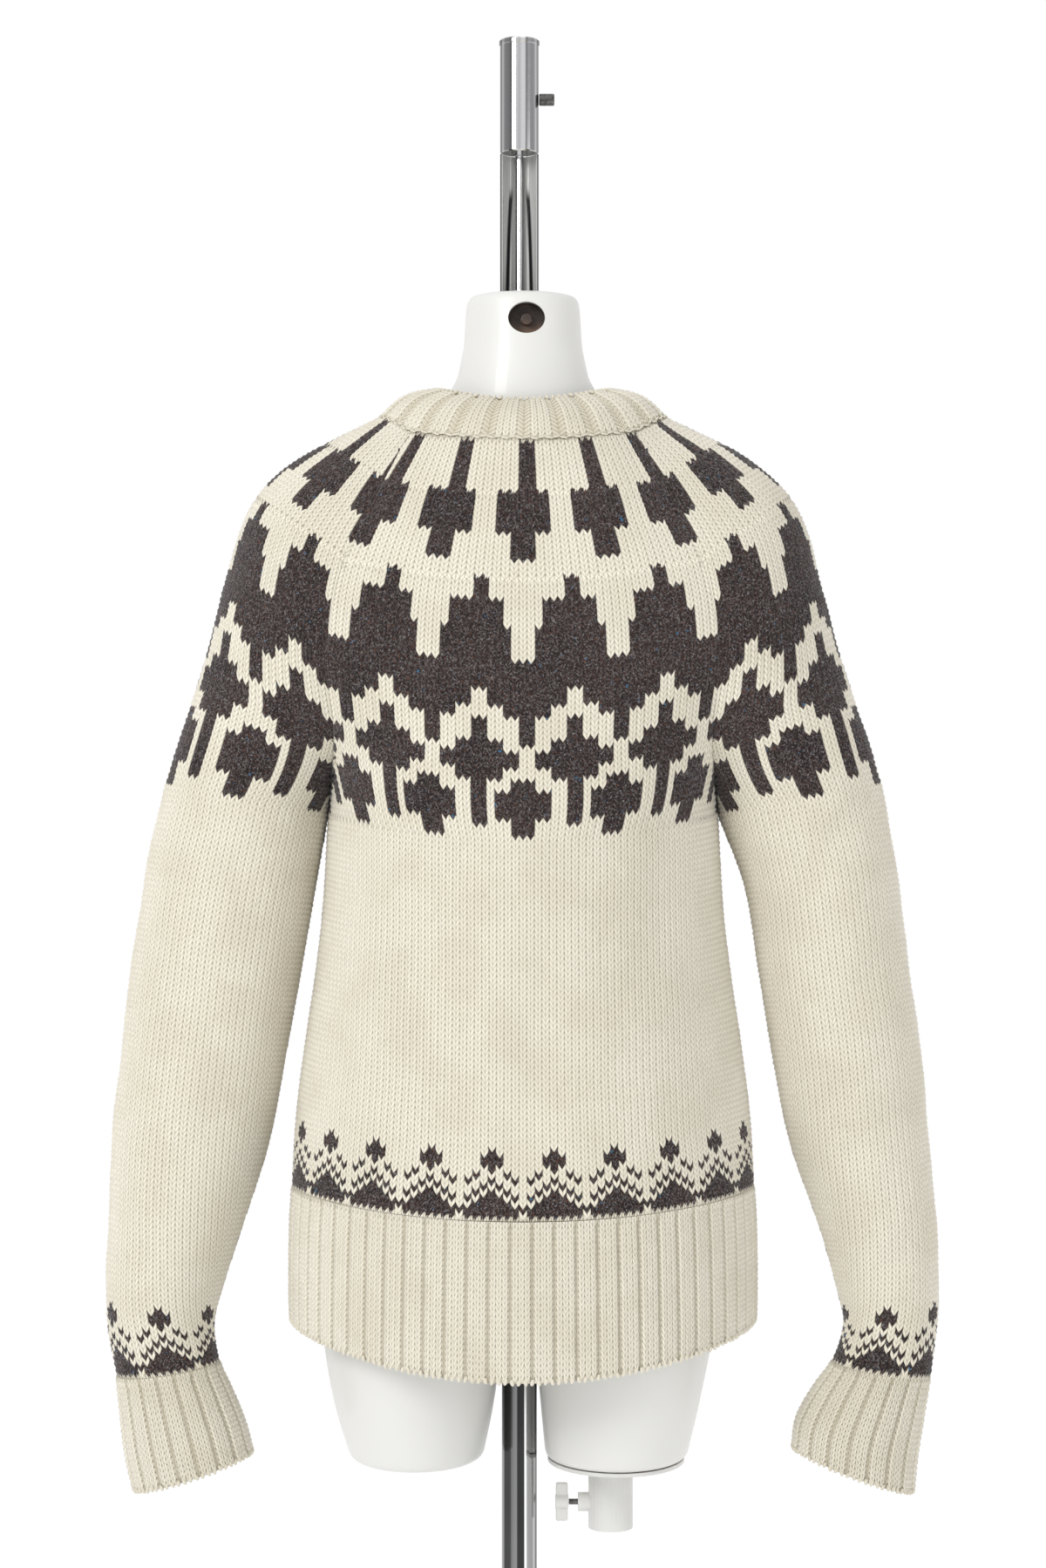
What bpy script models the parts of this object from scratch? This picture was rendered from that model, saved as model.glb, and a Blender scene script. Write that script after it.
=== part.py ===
"""Round-neck yoke sweater on a limbless torso form, which stands on a chrome pole.

Metres, +Z up. The origin is the middle of the base's underside. The garment's back faces -Y, and +X is on
the right of somebody who looks at that back. Every piece of cloth is a wall between an outer surface and an
inner one. The yoke is worked in rings: share 1 is the seam of the neckband and share 0 passes both armpits.
"""

import math
from collections import namedtuple

import bmesh
import bpy
import numpy as np
from mathutils import Matrix, Vector

# Cloth
WALL = 0.003
BAND_WALL = 0.0034
RIB_RISE = 0.0012
SEAM_GAP = 0.0004
YOKE_STEPS = 10
BODY_STEPS = 7
PANEL_STEPS = 20
SLEEVE_AROUND = 18
RIB_POINTS = 4
RIB_PROFILE = (0.0, 1.0, 1.0, 0.0)
NECK_RIBS = 24
HEM_RIBS = 31
CUFF_RIBS = 18
RIB_ROWS = 3

# Neckband: the top ring
BAND_TOP_HALF_WIDTH = 0.061
BAND_TOP_HALF_DEPTH = 0.054
BAND_TOP_BACK_Z = 1.4190
BAND_TOP_SIDE_Z = 1.4300
BAND_TOP_FRONT_Z = 1.3900
BAND_BULGE = 0.002

# Stand
STAND_X = -0.0025
POLE_RADIUS = 0.0121
CHANNEL_RADIUS = 0.0132
CHANNEL_WALL = 0.0016
FIT = 0.0003
BASE_RADIUS = 0.170
BASE_THICKNESS = 0.010
BASE_BEVEL = 0.003
HUB_RADIUS = 0.024
HUB_HEIGHT = 0.026
POLE_TOP_Z = 1.360
CHANNEL_TOP_Z = 1.593
COLLAR_TOP_Z = 1.671
COLLAR_RADIUS = 0.0133
COLLAR_RIM_RADIUS = 0.0139
COLLAR_RIM_HEIGHT = 0.004
ROD_RADIUS = 0.0027
SET_SCREW_Z = 1.630
SET_SCREW_RADIUS = 0.0042
SET_SCREW_LENGTH = 0.0105

# Torso form
FORM_CLEARANCE = 0.0006
FORM_CLEARANCE_GROWTH = 0.006
FORM_AROUND = 40
CROTCH_Z = 0.800
STUB_TOP_Z = 0.870
STUB_BOTTOM_Z = 0.697
NECK_HOLE_RADIUS = 0.0125
NECK_HOLE_X = 0.0024
NECK_HOLE_Z = 1.475
NECK_HOLE_FLOOR_Y = -0.0245
NECK_SCREW_RADIUS = 0.004
NECK_SCREW_LENGTH = 0.006

# Fitting under the right thigh stub
PLATE_THICKNESS = 0.0024
SOCKET_X = 0.0603
SOCKET_RADIUS = 0.0153
SOCKET_BORE = 0.0128
SOCKET_BOTTOM_Z = 0.647
SOCKET_ROOF = 0.004
KNOB_Z = 0.665
BOSS_RADIUS = 0.0065
BOSS_LEFT_X = 0.0378
KNOB_SCREW_RADIUS = 0.002
KNOB_SCREW_LEFT_X = 0.0315
KNOB_SCREW_RIGHT_X = 0.0470
KNOB_LEFT_X = 0.0222
KNOB_RIGHT_X = 0.0312
KNOB_HUB_RADIUS = 0.005
WING_SPAN = 0.0264
WING_THICKNESS = 0.0036

# The yoke's rings. seam: where a panel meets a sleeve, at the back. cap: the highest line of the sleeve.
# sleeve_open: the angle on either side of the cap line that the sleeve takes. sag: how far the middle of
# a panel hangs under its seams. front_drop: how far the front seam lies under the back one.
YokeRing = namedtuple(
    "YokeRing",
    "share seam_x seam_z cap_x cap_z sleeve_depth sleeve_open back_depth back_sag front_sag front_drop",
)
YOKE = (
    YokeRing(0.000, 0.134, 1.138, 0.247, 1.158, 0.0500, 180.0, 0.113, 0.016, 0.016, 0.000),
    YokeRing(0.244, 0.127, 1.192, 0.223, 1.231, 0.0700, 119.0, 0.113, 0.021, 0.021, 0.001),
    YokeRing(0.455, 0.130, 1.248, 0.205, 1.296, 0.0835, 91.0, 0.112, 0.020, 0.023, 0.003),
    YokeRing(0.630, 0.121, 1.300, 0.189, 1.347, 0.0880, 74.0, 0.108, 0.016, 0.024, 0.006),
    YokeRing(0.780, 0.103, 1.341, 0.158, 1.380, 0.0864, 59.0, 0.100, 0.012, 0.026, 0.009),
    YokeRing(1.000, 0.076, 1.397, 0.098, 1.411, 0.0780, 39.0, 0.078, 0.008, 0.028, 0.014),
)

# The body's rings, from the armpits to the hem, by the height of the side seam.
BodyRing = namedtuple("BodyRing", "z half_width half_depth sag")
BODY = (
    BodyRing(0.7925, 0.1600, 0.1280, 0.0235),
    BodyRing(0.8110, 0.1605, 0.1270, 0.0200),
    BodyRing(0.8590, 0.1600, 0.1245, 0.0130),
    BodyRing(0.8840, 0.1585, 0.1230, 0.0105),
    BodyRing(0.9310, 0.1560, 0.1190, 0.0115),
    BodyRing(0.9790, 0.1500, 0.1150, 0.0125),
    BodyRing(1.0270, 0.1430, 0.1135, 0.0135),
    BodyRing(1.0750, 0.1375, 0.1125, 0.0145),
    BodyRing(1.1380, 0.1340, 0.1130, 0.0160),
)
UNDERARM_Z = 1.138
RIB_TOP_Z = 0.884
HEM_Z = 0.7925

# The sleeves' rings below the armpit, by the height of the ring's middle. rise: how far the outer side of
# a ring lies above its inner side.
SleeveRing = namedtuple("SleeveRing", "z middle_x half_width half_depth rise")
LEFT_SLEEVE = (
    SleeveRing(0.687, 0.2270, 0.0410, 0.0400, -0.026),
    SleeveRing(0.711, 0.2330, 0.0408, 0.0390, -0.022),
    SleeveRing(0.735, 0.2390, 0.0380, 0.0370, -0.016),
    SleeveRing(0.757, 0.2445, 0.0352, 0.0355, -0.010),
    SleeveRing(0.787, 0.2490, 0.0364, 0.0375, -0.001),
    SleeveRing(0.811, 0.2470, 0.0390, 0.0410, 0.005),
    SleeveRing(0.859, 0.2390, 0.0453, 0.0450, 0.012),
    SleeveRing(0.919, 0.2280, 0.0530, 0.0480, 0.015),
    SleeveRing(0.979, 0.2190, 0.0555, 0.0490, 0.016),
    SleeveRing(1.039, 0.2100, 0.0573, 0.0500, 0.017),
    SleeveRing(1.099, 0.2000, 0.0576, 0.0500, 0.018),
    SleeveRing(1.148, 0.1905, 0.0565, 0.0500, 0.020),
)
RIGHT_SLEEVE = (
    SleeveRing(0.688, 0.2270, 0.0418, 0.0400, -0.030),
    SleeveRing(0.711, 0.2300, 0.0414, 0.0390, -0.025),
    SleeveRing(0.735, 0.2380, 0.0378, 0.0370, -0.018),
    SleeveRing(0.757, 0.2465, 0.0335, 0.0345, -0.010),
    SleeveRing(0.787, 0.2530, 0.0322, 0.0360, -0.001),
    SleeveRing(0.811, 0.2515, 0.0345, 0.0390, 0.006),
    SleeveRing(0.859, 0.2440, 0.0393, 0.0430, 0.014),
    SleeveRing(0.919, 0.2310, 0.0468, 0.0460, 0.016),
    SleeveRing(0.979, 0.2220, 0.0500, 0.0480, 0.017),
    SleeveRing(1.039, 0.2130, 0.0507, 0.0490, 0.018),
    SleeveRing(1.099, 0.2040, 0.0517, 0.0500, 0.019),
    SleeveRing(1.148, 0.1905, 0.0565, 0.0500, 0.020),
)
SLEEVE_TOP_Z = 1.148
CUFF_TOP_Z = 0.757
SLEEVE_STEPS = 9

# Soft folds pressed into the cloth: where each is deepest, its half length along the cloth's fall, its half
# width, the lean of its run from upright (degrees) and its depth.
Fold = namedtuple("Fold", "x z half_length half_width lean depth")
BACK_FOLDS = (
    Fold(0.010, 0.985, 0.110, 0.020, 2.0, 0.0030),
    Fold(-0.088, 1.075, 0.070, 0.016, -24.0, 0.0022),
    Fold(0.092, 1.070, 0.075, 0.016, 22.0, 0.0022),
)
FRONT_FOLDS = (
    Fold(-0.030, 0.960, 0.090, 0.020, -3.0, 0.0028),
    Fold(0.095, 1.060, 0.075, 0.017, 24.0, 0.0024),
    Fold(-0.098, 1.065, 0.070, 0.016, -22.0, 0.0022),
)

# The torso form below the shoulders, and its neck. follow: how far a neck ring copies the rise and fall of
# the neckband's seam.
FormRing = namedtuple("FormRing", "z half_width half_depth middle_y")
FORM_BODY = (
    FormRing(CROTCH_Z, 0.1480, 0.1020, -0.002),
    FormRing(0.850, 0.1500, 0.1080, -0.003),
    FormRing(0.900, 0.1460, 0.1040, -0.002),
    FormRing(0.960, 0.1300, 0.0920, 0.000),
    FormRing(1.030, 0.1180, 0.0860, 0.002),
    FormRing(1.090, 0.1200, 0.0930, 0.003),
    FormRing(1.140, 0.1240, 0.0990, 0.002),
    FormRing(1.190, 0.1300, 0.1000, 0.000),
    FormRing(1.240, 0.1450, 0.0980, 0.000),
)
NeckRing = namedtuple("NeckRing", "half_width half_depth z follow")
FORM_NECK = (
    NeckRing(0.0700, 0.0580, 1.404, 1.0),
    NeckRing(0.0520, 0.0470, 1.418, 0.6),
    NeckRing(0.0465, 0.0440, 1.436, 0.2),
    NeckRing(0.0415, 0.0405, 1.462, 0.0),
    NeckRing(0.0385, 0.0380, 1.479, 0.0),
    NeckRing(0.0365, 0.0360, 1.488, 0.0),
    NeckRing(0.0320, 0.0315, 1.4925, 0.0),
)
FORM_SHOULDER_SHARES = (0.64, 0.72, 0.80, 0.88, 1.00)
StubRing = namedtuple("StubRing", "z middle_x half_width half_depth")
LEFT_STUB = (
    StubRing(STUB_BOTTOM_Z, -0.0730, 0.0455, 0.064),
    StubRing(0.740, -0.0750, 0.0560, 0.076),
    StubRing(0.800, -0.0760, 0.0630, 0.088),
    StubRing(STUB_TOP_Z, -0.0740, 0.0620, 0.092),
)
RIGHT_STUB = (
    StubRing(STUB_BOTTOM_Z, 0.0640, 0.0485, 0.064),
    StubRing(0.740, 0.0670, 0.0555, 0.076),
    StubRing(0.800, 0.0700, 0.0630, 0.088),
    StubRing(STUB_TOP_Z, 0.0700, 0.0620, 0.092),
)

Finish = namedtuple("Finish", "red green blue roughness metallic")
CREAM_WOOL = Finish(0.80, 0.75, 0.64, 0.92, 0.0)
YOKE_WOOL = Finish(0.42, 0.38, 0.33, 0.92, 0.0)
WHITE_SHELL = Finish(0.84, 0.84, 0.83, 0.38, 0.0)
WHITE_PLASTIC = Finish(0.80, 0.80, 0.79, 0.42, 0.0)
CHROME = Finish(0.72, 0.72, 0.73, 0.12, 1.0)
STEEL = Finish(0.45, 0.45, 0.46, 0.32, 1.0)


def clear_scene():
    for thing in list(bpy.data.objects):
        bpy.data.objects.remove(thing, do_unlink=True)


def finish_of(name, finish):
    material = bpy.data.materials.new(name)
    material.use_nodes = True
    shader = material.node_tree.nodes["Principled BSDF"]
    shader.inputs["Base Color"].default_value = (finish.red, finish.green, finish.blue, 1.0)
    shader.inputs["Roughness"].default_value = finish.roughness
    shader.inputs["Metallic"].default_value = finish.metallic
    return material


def add_object(name, mesh, finish=None, smooth_angle=40.0):
    thing = bpy.data.objects.new(name, mesh)
    bpy.context.collection.objects.link(thing)
    if finish is None:
        thing.hide_render = True
        thing.display_type = "WIRE"
    else:
        mesh.materials.append(finish_of(name, finish))
        mesh.shade_smooth()
        mesh.set_sharp_from_angle(angle=math.radians(smooth_angle))
    return thing


def mesh_of(name, points, faces):
    mesh = bpy.data.meshes.new(name)
    mesh.from_pydata([tuple(float(c) for c in point) for point in points], [], faces)
    mesh.update()
    return mesh


def smooth_row(table, at):
    """The row of a table at a value of its first column, on a smooth curve through the table's rows."""
    keys = [row[0] for row in table]
    at = min(max(at, keys[0]), keys[-1])
    low = max(index for index in range(len(table) - 1) if keys[index] <= at)
    span = keys[low + 1] - keys[low]
    part = (at - keys[low]) / span

    def slope(index, column):
        before = max(index - 1, 0)
        after = min(index + 1, len(table) - 1)
        return (table[after][column] - table[before][column]) / (keys[after] - keys[before])

    values = []
    for column in range(len(table[0])):
        start, end = table[low][column], table[low + 1][column]
        start_slope, end_slope = slope(low, column) * span, slope(low + 1, column) * span
        values.append(
            (2 * part**3 - 3 * part**2 + 1) * start
            + (part**3 - 2 * part**2 + part) * start_slope
            + (3 * part**2 - 2 * part**3) * end
            + (part**3 - part**2) * end_slope
        )
    return type(table[0])(*values)


# Surfaces of the garment


def panel_point(share, across, front):
    """A point of the yoke's back or front; across runs from -1 at the left seam to 1 at the right one."""
    ring = smooth_row(YOKE, share)
    seam_y = ring.sleeve_depth * math.sin(math.radians(ring.sleeve_open))
    edge_angle = math.acos(min(seam_y / ring.back_depth, 1.0))
    half_width = ring.seam_x / math.sin(edge_angle)
    angle = across * edge_angle
    sag = ring.front_sag if front else ring.back_sag
    seam_z = ring.seam_z - (ring.front_drop if front else 0.0)
    hang = 1.0 - (math.sin(angle) / math.sin(edge_angle)) ** 2
    depth = ring.back_depth * math.cos(angle)
    return Vector((half_width * math.sin(angle), depth if front else -depth, seam_z - sag * hang))


def cap_point(share, around, side):
    """A point of a sleeve's yoke; around runs from -1 at the back seam to 1 at the front one."""
    ring = smooth_row(YOKE, share)
    opening = math.radians(ring.sleeve_open)
    half_width = (ring.cap_x - ring.seam_x) / (1.0 - math.cos(opening))
    angle = around * opening
    height = (math.cos(angle) - math.cos(opening)) / (1.0 - math.cos(opening))
    seam_z = ring.seam_z - (ring.front_drop if around > 0.0 else 0.0)
    x = ring.cap_x - half_width * (1.0 - math.cos(angle))
    z = seam_z + (ring.cap_z - seam_z) * height
    return Vector((side * x, ring.sleeve_depth * math.sin(angle), z))


def body_point(z, across, front):
    ring = smooth_row(BODY, z)
    angle = across * math.pi / 2
    depth = ring.half_depth * math.cos(angle)
    hang = math.cos(angle) ** 2
    return Vector((ring.half_width * math.sin(angle), depth if front else -depth, z - ring.sag * hang))


def sleeve_point(z, around, side):
    """A point of a sleeve below the armpit; around is 0 on the outer side and -1 or 1 on the inner side."""
    ring = smooth_row(RIGHT_SLEEVE if side > 0 else LEFT_SLEEVE, z)
    angle = around * math.pi
    x = ring.middle_x + ring.half_width * math.cos(angle)
    return Vector((side * x, ring.half_depth * math.sin(angle), ring.z + ring.rise / 2 * math.cos(angle)))


def neck_seam_point(turn):
    """A point of the neckband's seam; turn is the angle from the middle of the back towards +X."""
    edge = math.radians(90.0 - YOKE[-1].sleeve_open)
    turn = (turn + math.pi) % (2 * math.pi) - math.pi
    if abs(turn) <= edge:
        return panel_point(1.0, turn / edge, front=False)
    if abs(turn) >= math.pi - edge:
        across = (math.copysign(math.pi, turn) - turn) / edge
        return panel_point(1.0, across, front=True)
    side = math.copysign(1.0, turn)
    around = (abs(turn) - math.pi / 2) / (math.pi / 2 - edge)
    return cap_point(1.0, around, side)


def pressed(point, folds, outward, across):
    """The point, moved in where a fold is pressed into the cloth, and less so near the panel's edges."""
    depth = 0.0
    for fold in folds:
        lean = math.radians(fold.lean)
        dx, dz = point.x - fold.x, point.z - fold.z
        along = (dz * math.cos(lean) + dx * math.sin(lean)) / fold.half_length
        aside = (dx * math.cos(lean) - dz * math.sin(lean)) / fold.half_width
        depth += fold.depth * math.exp(-(along**2) - aside**2)
    return point - outward * depth * (1.0 - across**4)


# Walls between an outer and an inner surface


def panel_grid(front):
    columns = np.linspace(-1.0, 1.0, PANEL_STEPS + 1)
    rows = [[panel_point(share, c, front) for c in columns] for share in np.linspace(1.0, 0.0, YOKE_STEPS + 1)]
    for z in np.linspace(UNDERARM_Z, RIB_TOP_Z, BODY_STEPS + 1)[1:]:
        rows.append([body_point(z, c, front) for c in columns])
    outward = Vector((0.0, 1.0 if front else -1.0, 0.0))
    folds = FRONT_FOLDS if front else BACK_FOLDS
    return np.array([[pressed(point, folds, outward, c) for point, c in zip(row, columns)] for row in rows])


def sleeve_grid(side):
    columns = np.linspace(-1.0, 1.0, SLEEVE_AROUND + 1)
    rows = [[cap_point(share, c, side) for c in columns] for share in np.linspace(1.0, 0.0, YOKE_STEPS + 1)]
    for z in np.linspace(SLEEVE_TOP_Z, CUFF_TOP_Z, SLEEVE_STEPS + 1)[1:]:
        rows.append([sleeve_point(z, c, side) for c in columns])
    return np.array([[tuple(point) for point in row] for row in rows])


def unit(vectors):
    return vectors / np.maximum(np.linalg.norm(vectors, axis=-1, keepdims=True), 1e-9)


def grid_normals(grid, facing):
    """Normals of a grid of points. facing is 1 or -1, so that they point out of the cloth."""
    down = np.gradient(grid, axis=0)
    across = np.gradient(grid, axis=1)
    return unit(np.cross(down, across)) * facing


def wrapped_normals(grid, facing, first_closed):
    """Normals of a sleeve, whose first and last columns are one line from the armpit down."""
    normals = grid_normals(grid, facing)
    around = np.concatenate([grid[:, -2:-1], grid, grid[:, 1:2]], axis=1)
    closed = grid_normals(around, facing)[:, 1:-1]
    normals[first_closed:] = closed[first_closed:]
    return normals


def grid_faces(rows, columns, flip, closed_from=None):
    """Four-sided faces of a grid. From row closed_from on, the last column is the first one again."""

    def index(row, column):
        if closed_from is not None and row >= closed_from and column == columns - 1:
            column = 0
        return row * columns + column

    faces = []
    for row in range(rows - 1):
        for column in range(columns - 1):
            face = [
                index(row, column),
                index(row + 1, column),
                index(row + 1, column + 1),
                index(row, column + 1),
            ]
            faces.append(face[::-1] if flip else face)
    return faces


def border_edges(faces):
    edges = set()
    for face in faces:
        edges.update(zip(face, face[1:] + face[:1]))
    return [(start, end) for start, end in sorted(edges) if (end, start) not in edges]


def drawn_in(points, faces, distance):
    """The points, with those of the border moved into the piece by a distance."""
    edges = border_edges(faces)
    after = dict(edges)
    before = {end: start for start, end in edges}
    middles = {}
    for face in faces:
        middle = np.mean([points[corner] for corner in face], axis=0)
        for corner in face:
            middles.setdefault(corner, []).append(middle)
    moved = points.copy()
    for corner in after:
        inward = np.mean(middles[corner], axis=0) - points[corner]
        along = unit(points[after[corner]] - points[before[corner]])
        inward = inward - along * np.dot(inward, along)
        moved[corner] = points[corner] + unit(inward) * distance
    return moved


def cloth_wall(name, grid, inward, faces, finish):
    """A closed wall: the outer faces, the inner ones and the rim along every border."""
    outer = drawn_in(grid.reshape(-1, 3), faces, SEAM_GAP / 2)
    inner = outer + inward.reshape(-1, 3) * WALL
    count = len(outer)
    walls = list(faces)
    walls += [[corner + count for corner in face[::-1]] for face in faces]
    for start, end in border_edges(faces):
        # Both pieces of a seam split its twisted rim the same way: upper outer point to lower inner one.
        if outer[start][2] > outer[end][2]:
            walls += [[end, start, end + count], [start, start + count, end + count]]
        else:
            walls += [[end, start, start + count], [end, start + count, end + count]]
    mesh = mesh_of(name, np.concatenate([outer, inner]), walls)
    solid = bmesh.new()
    solid.from_mesh(mesh)
    loose = [vertex for vertex in solid.verts if not vertex.link_faces]
    bmesh.ops.delete(solid, geom=loose, context="VERTS")
    solid.to_mesh(mesh)
    solid.free()
    return add_object(name, mesh, finish)


def flat_outward(row, middle):
    """Level directions out of a ring of points, square to the ring."""
    along = np.gradient(row, axis=0)
    level = unit(np.stack([along[:, 1], -along[:, 0], np.zeros(len(row))], axis=1))
    sign = np.sign(np.sum(level * (row - middle), axis=1, keepdims=True))
    return level * sign


def make_panels_and_sleeves():
    back, front = panel_grid(front=False), panel_grid(front=True)
    left, right = sleeve_grid(-1), sleeve_grid(1)
    back_out, front_out = grid_normals(back, 1), grid_normals(front, -1)
    left_out = wrapped_normals(left, -1, YOKE_STEPS)
    right_out = wrapped_normals(right, 1, YOKE_STEPS)

    # Where two pieces meet they share one direction, so that neither wall crosses into the other.
    for row in range(YOKE_STEPS + 1):
        for panel, panel_column, sleeve, sleeve_column in (
            (back_out, -1, right_out, 0),
            (front_out, -1, right_out, -1),
            (back_out, 0, left_out, 0),
            (front_out, 0, left_out, -1),
        ):
            shared = unit(panel[row, panel_column] + sleeve[row, sleeve_column])
            if row == YOKE_STEPS:
                shared = np.array([0.0, 0.0, -1.0])
            panel[row, panel_column] = shared
            sleeve[row, sleeve_column] = shared
    for row in range(YOKE_STEPS + 1, len(back)):
        for column in (0, -1):
            side = 1.0 if column == -1 else -1.0
            back_out[row, column] = front_out[row, column] = (side, 0.0, 0.0)
    middle = np.array([0.0, 0.0, 0.0])
    for grid, out in ((back, back_out), (front, front_out)):
        out[-1] = flat_outward(grid[-1], middle)
        out[-1, 0] = (-1.0, 0.0, 0.0)
        out[-1, -1] = (1.0, 0.0, 0.0)

    rows, columns = back.shape[:2]
    cloth_wall("back_panel", back, -back_out, grid_faces(rows, columns, flip=False), YOKE_WOOL)
    cloth_wall("front_panel", front, -front_out, grid_faces(rows, columns, flip=True), YOKE_WOOL)
    rows, columns = left.shape[:2]
    faces = grid_faces(rows, columns, flip=True, closed_from=YOKE_STEPS)
    cloth_wall("left_sleeve", left, -left_out, faces, YOKE_WOOL)
    faces = grid_faces(rows, columns, flip=False, closed_from=YOKE_STEPS)
    cloth_wall("right_sleeve", right, -right_out, faces, YOKE_WOOL)


def ribbed_wall(name, place, ribs, closed, wall, flip, finish):
    """A wall with upright ribs outside and a plain inside, one inner point for each rib.

    place(down, along) gives a point of the surface and the direction out of it, for down from 0 at the top
    to 1 at the bottom and along from 0 to 1.
    """
    outer_count = ribs * RIB_POINTS + (0 if closed else 1)
    inner_count = ribs + (0 if closed else 1)
    points, outer, inner = [], [], []
    for down in np.linspace(0.0, 1.0, RIB_ROWS + 1):
        outer_row, inner_row = [], []
        for step in range(outer_count):
            point, out = place(down, step / (ribs * RIB_POINTS))
            outer_row.append(len(points))
            points.append(point + out * RIB_RISE * RIB_PROFILE[step % RIB_POINTS])
        for step in range(inner_count):
            point, out = place(down, step / ribs)
            inner_row.append(len(points))
            points.append(point - out * wall)
        if closed:
            outer_row.append(outer_row[0])
            inner_row.append(inner_row[0])
        outer.append(outer_row)
        inner.append(inner_row)

    faces = []
    for row in range(RIB_ROWS):
        for a in range(ribs * RIB_POINTS):
            faces.append([outer[row][a], outer[row + 1][a], outer[row + 1][a + 1], outer[row][a + 1]])
        for a in range(ribs):
            faces.append([inner[row][a + 1], inner[row + 1][a + 1], inner[row + 1][a], inner[row][a]])
        if not closed:
            faces.append([inner[row][0], inner[row + 1][0], outer[row + 1][0], outer[row][0]])
            faces.append([outer[row][-1], outer[row + 1][-1], inner[row + 1][-1], inner[row][-1]])
    for row, turned in ((0, False), (RIB_ROWS, True)):
        for a in range(ribs):
            first = a * RIB_POINTS
            middle = first + RIB_POINTS // 2
            rim = [[inner[row][a], outer[row][s], outer[row][s + 1]] for s in range(first, middle)]
            rim.append([inner[row][a], outer[row][middle], inner[row][a + 1]])
            for s in range(middle, first + RIB_POINTS):
                rim.append([inner[row][a + 1], outer[row][s], outer[row][s + 1]])
            faces += [corners[::-1] for corners in rim] if turned else rim
    if flip:
        faces = [face[::-1] for face in faces]
    return add_object(name, mesh_of(name, points, faces), finish)


def level_direction(before, after, point, middle):
    along = after - before
    out = Vector((along.y, -along.x, 0.0)).normalized()
    return out if out.dot(point - middle) > 0.0 else -out


def band_place(down, along):
    turn = 2 * math.pi * along
    step = 0.01
    seam = neck_seam_point(turn)
    top_z = BAND_TOP_BACK_Z + (BAND_TOP_SIDE_Z - BAND_TOP_BACK_Z) * math.sin(turn) ** 2
    if math.cos(turn) < 0.0:
        top_z = BAND_TOP_FRONT_Z + (BAND_TOP_SIDE_Z - BAND_TOP_FRONT_Z) * math.sin(turn) ** 2
    top = Vector((BAND_TOP_HALF_WIDTH * math.sin(turn), -BAND_TOP_HALF_DEPTH * math.cos(turn), top_z))
    level = level_direction(neck_seam_point(turn - step), neck_seam_point(turn + step), seam, Vector())
    run = (top - seam).normalized()
    square = (level - run * level.dot(run)).normalized()
    out = (level * down + square * (1.0 - down)).normalized()
    point = seam.lerp(top, 1.0 - down)
    point += square * BAND_BULGE * math.sin(math.pi * down)
    point += run * SEAM_GAP / 2 * down
    return point, out


def hem_place(front):
    def place(down, along):
        across = 2.0 * along - 1.0
        step = 0.01
        z = RIB_TOP_Z + (HEM_Z - RIB_TOP_Z) * down
        point = body_point(z, across, front)
        before, after = body_point(z, across - step, front), body_point(z, across + step, front)
        out = level_direction(before, after, point, Vector())
        if abs(across) > 0.999:
            out = Vector((math.copysign(1.0, across), 0.0, 0.0))
            point.y += SEAM_GAP / 2 * (1.0 if front else -1.0)
        point.z -= SEAM_GAP / 2 * (1.0 - down)
        return point, out

    return place


def cuff_place(side):
    table = RIGHT_SLEEVE if side > 0 else LEFT_SLEEVE
    bottom_z = table[0].z

    def place(down, along):
        around = 2.0 * along
        z = CUFF_TOP_Z + (bottom_z - CUFF_TOP_Z) * down
        ring = smooth_row(table, z)
        point = sleeve_point(z, around, side)
        angle = around * math.pi
        out = Vector((side * math.cos(angle) / ring.half_width, math.sin(angle) / ring.half_depth, 0.0))
        out.z = math.cos(angle) / ring.half_width * ring.rise / 2 / ring.half_width
        point.z -= SEAM_GAP / 2 * (1.0 - down)
        return point, out.normalized()

    return place


def make_ribs():
    ribbed_wall("neckband", band_place, NECK_RIBS, True, BAND_WALL, False, CREAM_WOOL)
    ribbed_wall("back_hem_rib", hem_place(False), HEM_RIBS, False, WALL, False, CREAM_WOOL)
    ribbed_wall("front_hem_rib", hem_place(True), HEM_RIBS, False, WALL, True, CREAM_WOOL)
    ribbed_wall("left_cuff", cuff_place(-1), CUFF_RIBS, True, WALL, True, CREAM_WOOL)
    ribbed_wall("right_cuff", cuff_place(1), CUFF_RIBS, True, WALL, False, CREAM_WOOL)


# Torso form and stand


def lofted(name, rings, finish=None):
    """A closed body through rings of equally many points, given from the bottom up, seen from above
    against the clock."""
    points = [point for ring in rings for point in ring]
    count = len(rings[0])
    faces = []
    for row in range(len(rings) - 1):
        for step in range(count):
            after = (step + 1) % count
            low, high = row * count, (row + 1) * count
            faces.append([low + step, low + after, high + after, high + step])
    last = (len(rings) - 1) * count
    faces.append([last + step for step in range(count)])
    faces.append([step for step in reversed(range(count))])
    return add_object(name, mesh_of(name, points, faces), finish)


def oval(half_width, half_depth, z, middle_x=0.0, middle_y=0.0, count=FORM_AROUND):
    """Points of a level oval, from the middle of its back towards +X."""
    ring = []
    for step in range(count):
        turn = 2 * math.pi * step / count
        ring.append(
            Vector((middle_x + half_width * math.sin(turn), middle_y - half_depth * math.cos(turn), z))
        )
    return ring


def shoulder_ring(share):
    """A ring of the form under the yoke, moved in by the cloth's wall and a little more lower down."""
    quarter = FORM_AROUND // 4
    ring = []
    for step in range(FORM_AROUND):
        place = (step + quarter // 2) % FORM_AROUND
        part = (place % quarter) / quarter
        arc = place // quarter
        ring.append(shoulder_point(share, arc, part))
    return ring


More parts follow.
